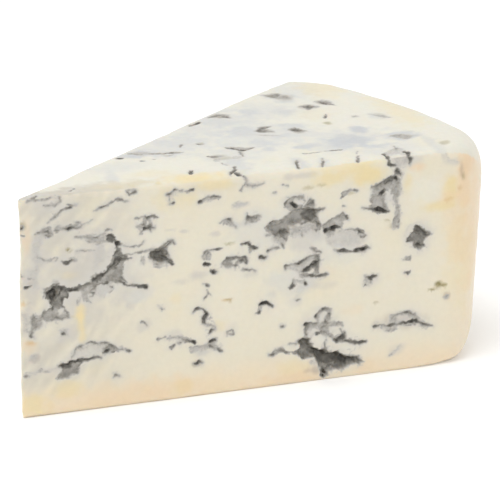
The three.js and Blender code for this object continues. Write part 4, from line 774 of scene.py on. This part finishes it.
def drawer(seed):
    """Numbers between 0 and 1, the same at every run."""
    state = seed
    while True:
        state = (state * 1664525 + 1013904223) % 4294967296
        yield state / 4294967296


def repeated(entries, source, place, turn):
    """The lines or outlines round a near place, carried to a far one and turned or mirrored."""
    out = {}
    for name, (*settings, points) in entries.items():
        middle = np.mean([p[:2] for p in points], 0)
        if math.hypot(middle[0] - source[0], middle[1] - source[1]) < REPEAT_REACH:
            moved = [(place[0] + turn[0] * (along - source[0]),
                      place[1] + turn[1] * (up - source[1]), *width) for along, up, *width in points]
            out[f"{name} {place}"] = (*settings, moved)
    return out


def far_veins():
    """Lines and outlines for the far cut: a group of near veins at each opening of the solid's."""
    draw = drawer(FAR_SEED)
    near_lines = {number: (points,) for number, points in enumerate(NEAR_BLACK)}
    near_tables = [near_lines, NEAR_PATCHES, NEAR_PITS, NEAR_FLOORS, NEAR_LUMPS]
    far_tables = [{} for _ in near_tables]
    for column in range(FAR_CELLS[0]):
        for row in range(FAR_CELLS[1]):
            along = FAR_FIRST[0] + FAR_CELL[0] * column + FAR_STRAY[0] * next(draw)
            place = along, FAR_FIRST[1] + FAR_CELL[1] * row + FAR_STRAY[1] * (next(draw) - 0.5)
            for _ in range(SHAPE_DRAWS):
                next(draw)
            source = REPEATED[(5 * column + 3 * row) % len(REPEATED)]
            turn = ((-1, -1), (1, -1), (-1, 1))[(column + row) % 3]
            for near_table, far_table in zip(near_tables, far_tables):
                far_table.update(repeated(near_table, source, place, turn))
    return [points for (points,) in far_tables[0].values()], far_tables[1:]


# ---- the places of the three cuts' maps ----
def near_place(x, y, z):
    """Along and up the near cut."""
    along = (x - NEAR_X[0]) / NEAR_X[1]
    return along, (z - NEAR_Z[0] - NEAR_Z[1] * along) / NEAR_Z[2]


def top_place(x, y, z):
    """Along the near cut and away from it, on the top."""
    along = (x - TOP_X[0] - TOP_X[2] * (y - TOP_START)) / TOP_X[1]
    return along, (y - TOP_Y[0] - TOP_Y[1] * along) / TOP_Y[2]


def far_place(x, y, z):
    """Along and up the far cut."""
    x, y = x - WHEEL_AXIS[0], y - WHEEL_AXIS[1]
    return x * math.cos(CUT_ANGLE) + y * math.sin(CUT_ANGLE), z


def depths(x, y, z):
    """How far inside the near, top and far cuts' planes a point lies."""
    wx, wy = x - WHEEL_AXIS[0], y - WHEEL_AXIS[1]
    return wy, HEIGHT - z, wx * math.sin(CUT_ANGLE) - wy * math.cos(CUT_ANGLE)


# ---- the solid ----
def closed_hull(node):
    """The CAD wedge without its openings: its corners' hull, in millimetres."""
    shape = bmesh.new()
    for vertex in node.data.vertices:
        shape.verts.new(vertex.co / MM)
    bmesh.ops.convex_hull(shape, input=shape.verts)
    bmesh.ops.delete(shape, geom=[v for v in shape.verts if not v.link_faces], context="VERTS")
    bmesh.ops.triangulate(shape, faces=shape.faces)
    bmesh.ops.recalc_face_normals(shape, faces=shape.faces)
    shape.verts.index_update()
    points = np.array([v.co[:] for v in shape.verts], np.float32)
    triangles = np.array([[v.index for v in f.verts] for f in shape.faces], np.uint32)
    shape.free()
    return points, triangles


def blur(field, reach):
    """The field smoothed along its axes; reach is in cells."""
    taps = np.arange(-math.ceil(2.5 * reach), math.ceil(2.5 * reach) + 1)
    weights = np.exp(-0.5 * (taps / reach) ** 2)
    weights = (weights / weights.sum()).astype(np.float32)
    for axis in range(field.ndim):
        sides = [(len(taps) // 2,) * 2 if k == axis else (0, 0) for k in range(field.ndim)]
        padded = np.pad(field, sides, mode="edge")
        out = np.zeros_like(field)
        for k, weight in enumerate(weights):
            part = [slice(None)] * field.ndim
            part[axis] = slice(k, k + field.shape[axis])
            out += weight * padded[tuple(part)]
        field = out
    return field


def lattice(shape, cell, seed):
    """Smooth noise between -1 and 1 on the whole grid; cell is in voxels."""
    counts = [int(n / cell) + 3 for n in shape]
    values = np.random.default_rng(seed).uniform(-1, 1, counts).astype(np.float32)
    for axis, n in enumerate(shape):
        place = np.arange(n) / cell
        i = place.astype(int)
        t = (place - i).astype(np.float32)
        t = t * t * (3 - 2 * t)
        t = t.reshape([-1 if k == axis else 1 for k in range(3)])
        values = np.take(values, i, axis) * (1 - t) + np.take(values, i + 1, axis) * t
    return values


def cut_field(x, y, z):
    """Distance to the wedge's flat faces, with the near cut's top edge softly rounded away from the tip."""
    near, top, far = depths(x, y, z)
    round_off = EDGE_ROUND * (1 + 0.3 * noise(x, 0 * x, 6.0, 51)) * smooth(x, *EDGE_ROUND_FROM)
    short, low = round_off - near, round_off - top
    corner = np.hypot(np.maximum(short, 0), np.maximum(low, 0)) + np.minimum(np.maximum(short, low), 0)
    corner = corner - round_off
    faces = np.maximum(np.maximum(-near, -top), np.maximum(np.maximum(-far, -z), TIP - x))
    return np.clip(np.maximum(faces, corner), -BAND, BAND)


def wedge_field(node):
    """The wedge without veins: a distance field, its grid's places, and its first corner in voxels."""
    points, triangles = closed_hull(node)
    grid = openvdb.FloatGrid.createLevelSetFromPolygons(
        points, triangles=triangles, transform=openvdb.createLinearTransform(voxelSize=VOXEL),
        halfWidth=BAND / VOXEL)
    first = np.floor(points.min(0) / VOXEL).astype(int) - MARGIN
    last = np.ceil(points.max(0) / VOXEL).astype(int) + MARGIN
    field = np.zeros(last - first + 1, np.float32)
    grid.copyToArray(field, ijk=tuple(int(n) for n in first))
    x, y, z = (((first[k] + np.arange(field.shape[k])) * VOXEL).astype(np.float32) for k in range(3))
    rolled = smooth(x, *ROLLS_FROM)[:, None, None]
    field = field * rolled + cut_field(x[:, None, None], y[None, :, None], z[None, None, :]) * (1 - rolled)
    field = blur(field, SOFTEN / VOXEL)

    start = int(np.searchsorted(x, FACETS_FROM[0]))
    rolls = field[start:]
    soft = smooth(x[start:], *FACETS_FROM)[:, None, None]
    field[start:] = rolls + (blur(rolls, SOFTEN_FACETS / VOXEL) - rolls) * soft

    for width, height, seed in SWELLS:
        field += height * lattice(field.shape, width / VOXEL, seed)
    return field, (x, y, z), first


def carve(field, grid_places, face, place, which):
    """Opens one cut's veins in the field."""
    relief = face.relief()
    # only near the surface, where the field is true
    slab = np.nonzero(np.abs(field) < BAND * 0.98)
    x, y, z = (axis[k] for axis, k in zip(grid_places, slab))
    depth = depths(x, y, z)
    chosen = (np.argmin(np.stack(depth), 0) == which) & (depth[which] < RELIEF_REACH)
    index = tuple(k[chosen] for k in slab)
    inward = depth[which][chosen]
    a, b = place(x[chosen], y[chosen], z[chosen])
    # the walls of an opening wander as they go in, so that its lips overhang
    a = a + WANDER * inward * noise(b, inward * 2, 1.2, SIDE_NOISE + which)
    b = b + WANDER * inward * noise(a, inward * 2, 1.2, SIDE_NOISE + 10 + which)
    field[index] += face.sample(relief, a, b)


def carved_field(node, near, top, far):
    """The wedge as a distance field with its veins carved in, and the grid's first corner in voxels."""
    field, grid_places, first = wedge_field(node)
    carve(field, grid_places, near, near_place, 0)
    carve(field, grid_places, top, top_place, 1)
    carve(field, grid_places, far, far_place, 2)
    np.maximum(field, -grid_places[2], out=field)
    return field, first


def surface(field, first):
    """The field's zero surface as a mesh object in metres."""
    grid = openvdb.FloatGrid(OUTSIDE)
    grid.copyFromArray(field, ijk=tuple(int(n) for n in first))
    grid.transform = openvdb.createLinearTransform(voxelSize=VOXEL)
    points, quads = grid.convertToQuads(isovalue=0.0)
    points[:, 2] = np.maximum(points[:, 2], 0)
    mesh = bpy.data.meshes.new("blue_cheese")
    mesh.from_pydata(points * MM, [], quads)
    piece = bpy.data.objects.new("blue_cheese", mesh)
    bpy.context.collection.objects.link(piece)
    largest_island(mesh)
    return piece


def largest_island(mesh):
    """Drops crumbs that the carving cut free."""
    shape = bmesh.new()
    shape.from_mesh(mesh)
    shape.verts.ensure_lookup_table()
    seen = np.zeros(len(shape.verts), bool)
    islands = []
    for vertex in shape.verts:
        if seen[vertex.index]:
            continue
        seen[vertex.index] = True
        island, front = [vertex], [vertex]
        while front:
            here = front.pop()
            for edge in here.link_edges:
                other = edge.other_vert(here)
                if not seen[other.index]:
                    seen[other.index] = True
                    island.append(other)
                    front.append(other)
        islands.append(island)
    islands.sort(key=len)
    crumbs = [v for island in islands[:-1] for v in island]
    bmesh.ops.delete(shape, geom=crumbs, context="VERTS")
    shape.to_mesh(mesh)
    shape.free()


def corner_array(mesh):
    """The mesh's corners as an array, in millimetres."""
    flat = np.empty(len(mesh.vertices) * 3, np.float32)
    mesh.vertices.foreach_get("co", flat)
    return flat.reshape(-1, 3) / MM


def vein_fields(points, near, top, far):
    """At each corner: which cut it is nearest, and the mould's tone with its painted shade."""
    x, y, z = points.T
    depth = np.stack(depths(x, y, z))
    which = np.argmin(depth, 0)
    tone = np.zeros(len(x), np.float32)
    for face, place, number in ((near, near_place, 0), (top, top_place, 1), (far, far_place, 2)):
        chosen = (which == number) & (depth[number] < TONE_REACH)
        tone[chosen] = face.sample(face.tone, *place(x[chosen], y[chosen], z[chosen]))
    return which, tone


def thinned(piece, which, tone):
    """Fewer triangles, and fewest where nothing is drawn: weight 1 takes a corner first, 0 last."""
    far_weight = np.where(tone > 0.1, 0.5, 0.8)
    near_weight = np.where(tone > 0.12, 0.0, 0.4)
    weight = np.where(which == 2, far_weight, near_weight)
    weight = np.where(corner_array(piece.data)[:, 2] < THIN_BELOW, 1.0, weight)
    group = piece.vertex_groups.new(name="thinning")
    for value in np.unique(weight):
        group.add(np.nonzero(weight == value)[0].tolist(), float(value), "REPLACE")
    modifier = piece.modifiers.new("thin", "DECIMATE")
    modifier.ratio = min(1.0, TRIANGLES / (2 * len(piece.data.polygons)))
    modifier.vertex_group = group.name
    modifier.vertex_group_factor = 1.0
    result = bpy.data.meshes.new_from_object(piece.evaluated_get(bpy.context.evaluated_depsgraph_get()))
    piece.modifiers.clear()
    piece.vertex_groups.clear()
    piece.data = result
    result.name = "blue_cheese"


# ---- the corners' colours ----
def display(name):
    """A named colour in display values from 0 to 1."""
    return np.array(COLOUR[name], np.float32) / 255


def to_linear(colour):
    """Display values to the linear ones that a shader takes."""
    return np.where(colour <= 0.04045, colour / 12.92, ((colour + 0.055) / 1.055) ** 2.4)


def stain(colour, a, b, stains, seed):
    """Lays soft-edged stains over the colours of some corners."""
    rumple = 0.3 * noise(a, b, 1.6, seed) + 0.15 * noise(a, b, 0.6, seed + 1)
    for name, places in stains:
        for along, up, wide, high, strength in places:
            reach = np.hypot((a - along) / wide, (b - up) / high) + rumple
            weight = (strength * smooth(reach, 1.25, 0.3))[:, None]
            colour += (display(name) - colour) * weight


def knife_veil(colour, a, b):
    """The grey veil that the knife dragged over the near cut's narrow end, in slanting streaks."""
    streak = noise(0.7 * a + 0.7 * b, 5 * (0.7 * b - 0.7 * a), 6.0, 64)
    streak += 0.6 * noise(0.4 * a + 0.9 * b, 6 * (0.9 * a - 0.4 * b), 4.0, 65)
    veil = smooth(a, 34.0, 6.0) * smooth(b, 2.0, 9.0) * (0.42 + 0.32 * streak)
    colour += (display("veil") - colour) * veil[:, None]


def ground_colours(x, y, z, which, inward, fade):
    """Paste and rind at each corner, faintly clouded."""
    radius = np.hypot(x - WHEEL_AXIS[0], y - WHEEL_AXIS[1])
    # on the top, the paste takes a painted cool cast of the light from above
    colour = display("paste") + (display("top paste and cool cast") - display("paste")) * (fade * (which == 1))[:, None]
    clouds = 0.5 * noise(x + 0.6 * y, z + 0.5 * y, 9.0, 61) + 0.5 * noise(x - 0.3 * y, z + 0.8 * y, 4.0, 62)
    foot = smooth(z + 2.0 * clouds, *RIND_BELOW)
    side = 0.85 * smooth(radius + 2.5 * clouds, *RIND_FROM)
    side = side * np.where(which == 1, smooth(inward, 0.5, 7.0), 1)
    rind = np.maximum(foot, side)
    colour += (display("rind") - colour) * rind[:, None]
    colour += (display("pale") - colour) * (0.4 * smooth(clouds, 0.1, 0.7) * (1 - rind))[:, None]
    colour += (display("yellow") - colour) * (0.14 * smooth(clouds, -0.1, -0.7))[:, None]
    return colour


def paste_colours(points, which, near, top, far):
    """The paste's colour at each corner, without its mould, in display values."""
    x, y, z = points.T
    # a cut's own colours fade out down the rind, away from the cut
    inward = np.min(np.stack(depths(x, y, z)), 0)
    fade = smooth(inward, *FADE)
    colour = ground_colours(x, y, z, which, inward, fade)
    cuts = ((near, near_place, NEAR_STAINS), (top, top_place, TOP_STAINS), (far, far_place, []))
    for number, (face, place, stains) in enumerate(cuts):
        chosen = which == number
        part = colour[chosen]
        a, b = place(x[chosen], y[chosen], z[chosen])
        if face is near:
            knife_veil(part, a, b)
        plain = part.copy()
        stain(part, a, b, stains, 71 + number)
        part = plain + (part - plain) * fade[chosen, None]
        glow = np.minimum(0.7, 1.3 * face.sample(face.glow, a, b))
        colour[chosen] = part + (display("glow") - part) * glow[:, None]
    return colour


def write_fields(mesh, colour, tone):
    """The paste's colour and the mould's tone with its painted shade on the mesh, for its material to read.
    """
    rgba = np.concatenate([to_linear(np.clip(colour, 0, 1)), np.ones((len(colour), 1))], 1)
    paste = mesh.color_attributes.new("paste", "FLOAT_COLOR", "POINT")
    paste.data.foreach_set("color", rgba.astype(np.float32).ravel())
    # the mould field holds painted shade in the hollows and under the lips as well as the mould's own tone
    mould = mesh.attributes.new("mould", "FLOAT", "POINT")
    mould.data.foreach_set("value", tone.astype(np.float32))


# ---- materials ----
class Shader:
    """A material's nodes, added one line each."""

    def __init__(self, name):
        self.material = bpy.data.materials.new(name)
        self.material.use_nodes = True
        self.tree = self.material.node_tree
        self.surface = self.tree.nodes["Principled BSDF"]

    def node(self, kind, inputs=(), **settings):
        """A node with its settings, and values or other nodes' outputs put to its inputs."""
        made = self.tree.nodes.new(kind)
        for key, value in settings.items():
            setattr(made, key, value)
        for key, value in dict(inputs).items():
            self.put(made.inputs[key], value)
        return made

    def put(self, socket, value):
        if isinstance(value, bpy.types.NodeSocket):
            self.tree.links.new(value, socket)
        else:
            socket.default_value = value

    def noise(self, per_mm, detail=3.0, rough=0.5, stretch=None):
        """Noise between 0 and 1, about this many bumps to the millimetre."""
        place = self.node("ShaderNodeTexCoord").outputs["Object"]
        if stretch:
            place = self.node("ShaderNodeMapping", {"Vector": place, "Scale": stretch}).outputs["Vector"]
        inputs = {"Vector": place, "Scale": per_mm / MM, "Detail": detail, "Roughness": rough}
        return self.node("ShaderNodeTexNoise", inputs).outputs["Fac"]

    def field(self, name, output="Fac"):
        """One of the mesh's own fields."""
        return self.node("ShaderNodeAttribute", attribute_name=name).outputs[output]

    def maths(self, operation, a, b):
        return self.node("ShaderNodeMath", {0: a, 1: b}, operation=operation).outputs[0]

    def ease(self, value, low, high, start=0.0, end=1.0):
        """From start to end in an S-curve, as the value goes from low to high."""
        inputs = {"Value": value, "From Min": low, "From Max": high, "To Min": start, "To Max": end}
        return self.node("ShaderNodeMapRange", inputs, interpolation_type="SMOOTHSTEP").outputs[0]

    def centred(self, noise_value, amount):
        """amount * (noise - 0.5)"""
        inputs = {0: noise_value, 1: amount, 2: -0.5 * amount}
        return self.node("ShaderNodeMath", inputs, operation="MULTIPLY_ADD").outputs[0]

    def mix(self, weight, first, second):
        """One colour at weight 0, the other at 1."""
        made = self.node("ShaderNodeMix", data_type="RGBA")
        self.put(made.inputs[0], weight)
        self.put(made.inputs[6], first)
        self.put(made.inputs[7], second)
        return made.outputs[2]


def cheese_material():
    """Paste and mould, with the mould field's painted shade, from the mesh's fields, with fine grain and
    the knife's drag.
    """
    s = Shader("blue_cheese")
    fine, mid = s.noise(2.6, 2.0), s.noise(1.1, 3.0, 0.6)

    speckle = s.ease(s.noise(0.9, 4.0, 0.6), 0.3, 0.7, 0.985, 1.01)
    paste = s.node("ShaderNodeVectorMath", {0: s.field("paste", "Color"), 1: speckle}, operation="MULTIPLY")

    # the mould's tone, painted shade and all, is roughened, most in its middle greys
    tone = s.field("mould")
    edge = s.maths("MULTIPLY", s.ease(tone, 0.02, 0.3), s.ease(tone, 0.35, 0.8, 1.0, 0.4))
    tone = s.maths("ADD", tone, s.maths("MULTIPLY", s.centred(fine, 0.2), edge))
    tone = s.maths("ADD", tone, s.maths("MULTIPLY", s.centred(mid, 0.18), edge))
    mould = s.node("ShaderNodeValToRGB", {0: tone})
    stops = mould.color_ramp.elements
    while len(stops) < len(MOULD):
        stops.new(0.5)
    for stop, (place, shade) in zip(stops, MOULD):
        stop.position = place
        stop.color = (*to_linear(np.array(shade) / 255), 1)
    colour = s.mix(s.ease(tone, 0.02, 0.26), paste.outputs[0], mould.outputs[0])

    s.put(s.surface.inputs["Base Color"], colour)
    s.put(s.surface.inputs["Roughness"], s.ease(mid, 0.3, 0.7, 0.36, 0.52))
    s.surface.inputs["Specular IOR Level"].default_value = 0.4
    s.surface.inputs["Subsurface Weight"].default_value = 0.35
    s.surface.inputs["Subsurface Radius"].default_value = (1.0, 0.7, 0.42)
    s.surface.inputs["Subsurface Scale"].default_value = 1.1 * MM
    s.surface.inputs["Coat Weight"].default_value = 0.12
    s.surface.inputs["Coat Roughness"].default_value = 0.22

    grain = s.node("ShaderNodeBump", {"Height": fine, "Strength": 0.2, "Distance": 0.04 * MM})
    drag = s.noise(0.9, 2.0, 0.5, (0.35, 0.35, 1.6))
    marks = s.node("ShaderNodeBump", {"Height": drag, "Strength": 0.5, "Distance": 0.12 * MM,
                                      "Normal": grain.outputs[0]})
    s.put(s.surface.inputs["Normal"], marks.outputs[0])
    return s.material


def floor_material():
    """Matt and nearly white, with a little light of its own so that it meets the white behind it."""
    s = Shader("pale_floor")
    tone = s.mix(s.noise(0.004, 2.0), (0.95, 0.95, 0.95, 1), (0.97, 0.97, 0.97, 1))
    s.put(s.surface.inputs["Base Color"], tone)
    s.surface.inputs["Roughness"].default_value = 0.9
    s.surface.inputs["Emission Color"].default_value = (1, 1, 1, 1)
    s.surface.inputs["Emission Strength"].default_value = FLOOR_GLOW
    s.surface.inputs["Specular IOR Level"].default_value = 0.1
    return s.material


# ---- the cheese ----
def make_cheese():
    """The cheese, carved, thinned to its triangles and coloured."""
    near, top, far = FaceMap(*UPRIGHT_SIZE, 100), FaceMap(*TOP_SIZE, 200), FaceMap(*UPRIGHT_SIZE, 300)
    near.draw(NEAR_BLACK, 1.0, NEAR_PATCHES, NEAR_PITS, NEAR_FLOORS, NEAR_LUMPS)
    top.draw(TOP_BLACK, 0.8, TOP_PATCHES, {}, {}, {})
    lines, outlines = far_veins()
    far.draw(lines, 1.0, *outlines)
    piece = surface(*carved_field(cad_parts["cheese_wedge"], near, top, far))
    thinned(piece, *vein_fields(corner_array(piece.data), near, top, far))
    points = corner_array(piece.data)
    which, tone = vein_fields(points, near, top, far)
    write_fields(piece.data, paste_colours(points, which, near, top, far), tone)
    piece.data.polygons.foreach_set("use_smooth", [True] * len(piece.data.polygons))
    piece.data.materials.append(cheese_material())
    return piece


cheese = make_cheese()
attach(cheese, "root")
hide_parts("cheese_wedge")


# ---- floor, light and camera ----
def make_floor():
    mesh = bpy.data.meshes.new("floor")
    corners = [(-FLOOR_REACH, -FLOOR_REACH, 0), (FLOOR_REACH, -FLOOR_REACH, 0),
               (FLOOR_REACH, FLOOR_REACH, 0), (-FLOOR_REACH, FLOOR_REACH, 0)]
    mesh.from_pydata(corners, [], [(0, 1, 2, 3)])
    piece = bpy.data.objects.new("floor", mesh)
    bpy.context.collection.objects.link(piece)
    mesh.materials.append(floor_material())


def area_light(name, place, target, size, watts):
    """A round white light that faces its target."""
    light = bpy.data.lights.new(name, "AREA")
    light.shape = "DISK"
    light.size = size
    light.energy = watts
    holder = bpy.data.objects.new(name, light)
    holder.location = place
    holder.rotation_euler = (Vector(target) - Vector(place)).to_track_quat("-Z", "Y").to_euler()
    bpy.context.collection.objects.link(holder)


def make_world():
    """Even white light; the camera sees plain white behind the floor."""
    world = bpy.data.worlds.new("studio")
    bpy.context.scene.world = world
    world.use_nodes = True
    tree = world.node_tree
    light = tree.nodes["Background"]
    light.inputs["Color"].default_value = (1, 1, 1, 1)
    light.inputs["Strength"].default_value = SKY
    backdrop = tree.nodes.new("ShaderNodeBackground")
    backdrop.inputs["Color"].default_value = (1, 1, 1, 1)
    backdrop.inputs["Strength"].default_value = 1.0
    seen = tree.nodes.new("ShaderNodeLightPath")
    mix = tree.nodes.new("ShaderNodeMixShader")
    tree.links.new(seen.outputs["Is Camera Ray"], mix.inputs[0])
    tree.links.new(light.outputs[0], mix.inputs[1])
    tree.links.new(backdrop.outputs[0], mix.inputs[2])
    tree.links.new(mix.outputs[0], tree.nodes["World Output"].inputs["Surface"])


def make_camera():
    """Looks at its target from the near cut's side, a little to the left and above."""
    level = math.cos(CAMERA_ELEVATION)
    back = Vector((math.sin(CAMERA_AZIMUTH) * level, -math.cos(CAMERA_AZIMUTH) * level,
                   math.sin(CAMERA_ELEVATION)))
    data = bpy.data.cameras.new("camera")
    data.sensor_width = SENSOR_WIDTH
    data.lens = LENS
    data.clip_start, data.clip_end = 0.05, 20.0
    camera = bpy.data.objects.new("camera", data)
    camera.location = Vector(CAMERA_TARGET) * MM + back * CAMERA_DISTANCE
    camera.rotation_euler = (-back).to_track_quat("-Z", "Y").to_euler()
    bpy.context.collection.objects.link(camera)
    bpy.context.scene.camera = camera


make_floor()
make_world()
area_light("key", KEY_PLACE, KEY_TARGET, KEY_SIZE, KEY_WATTS)
make_camera()

scene = bpy.context.scene
scene.view_settings.view_transform = "Standard"
scene.view_settings.look = "None"
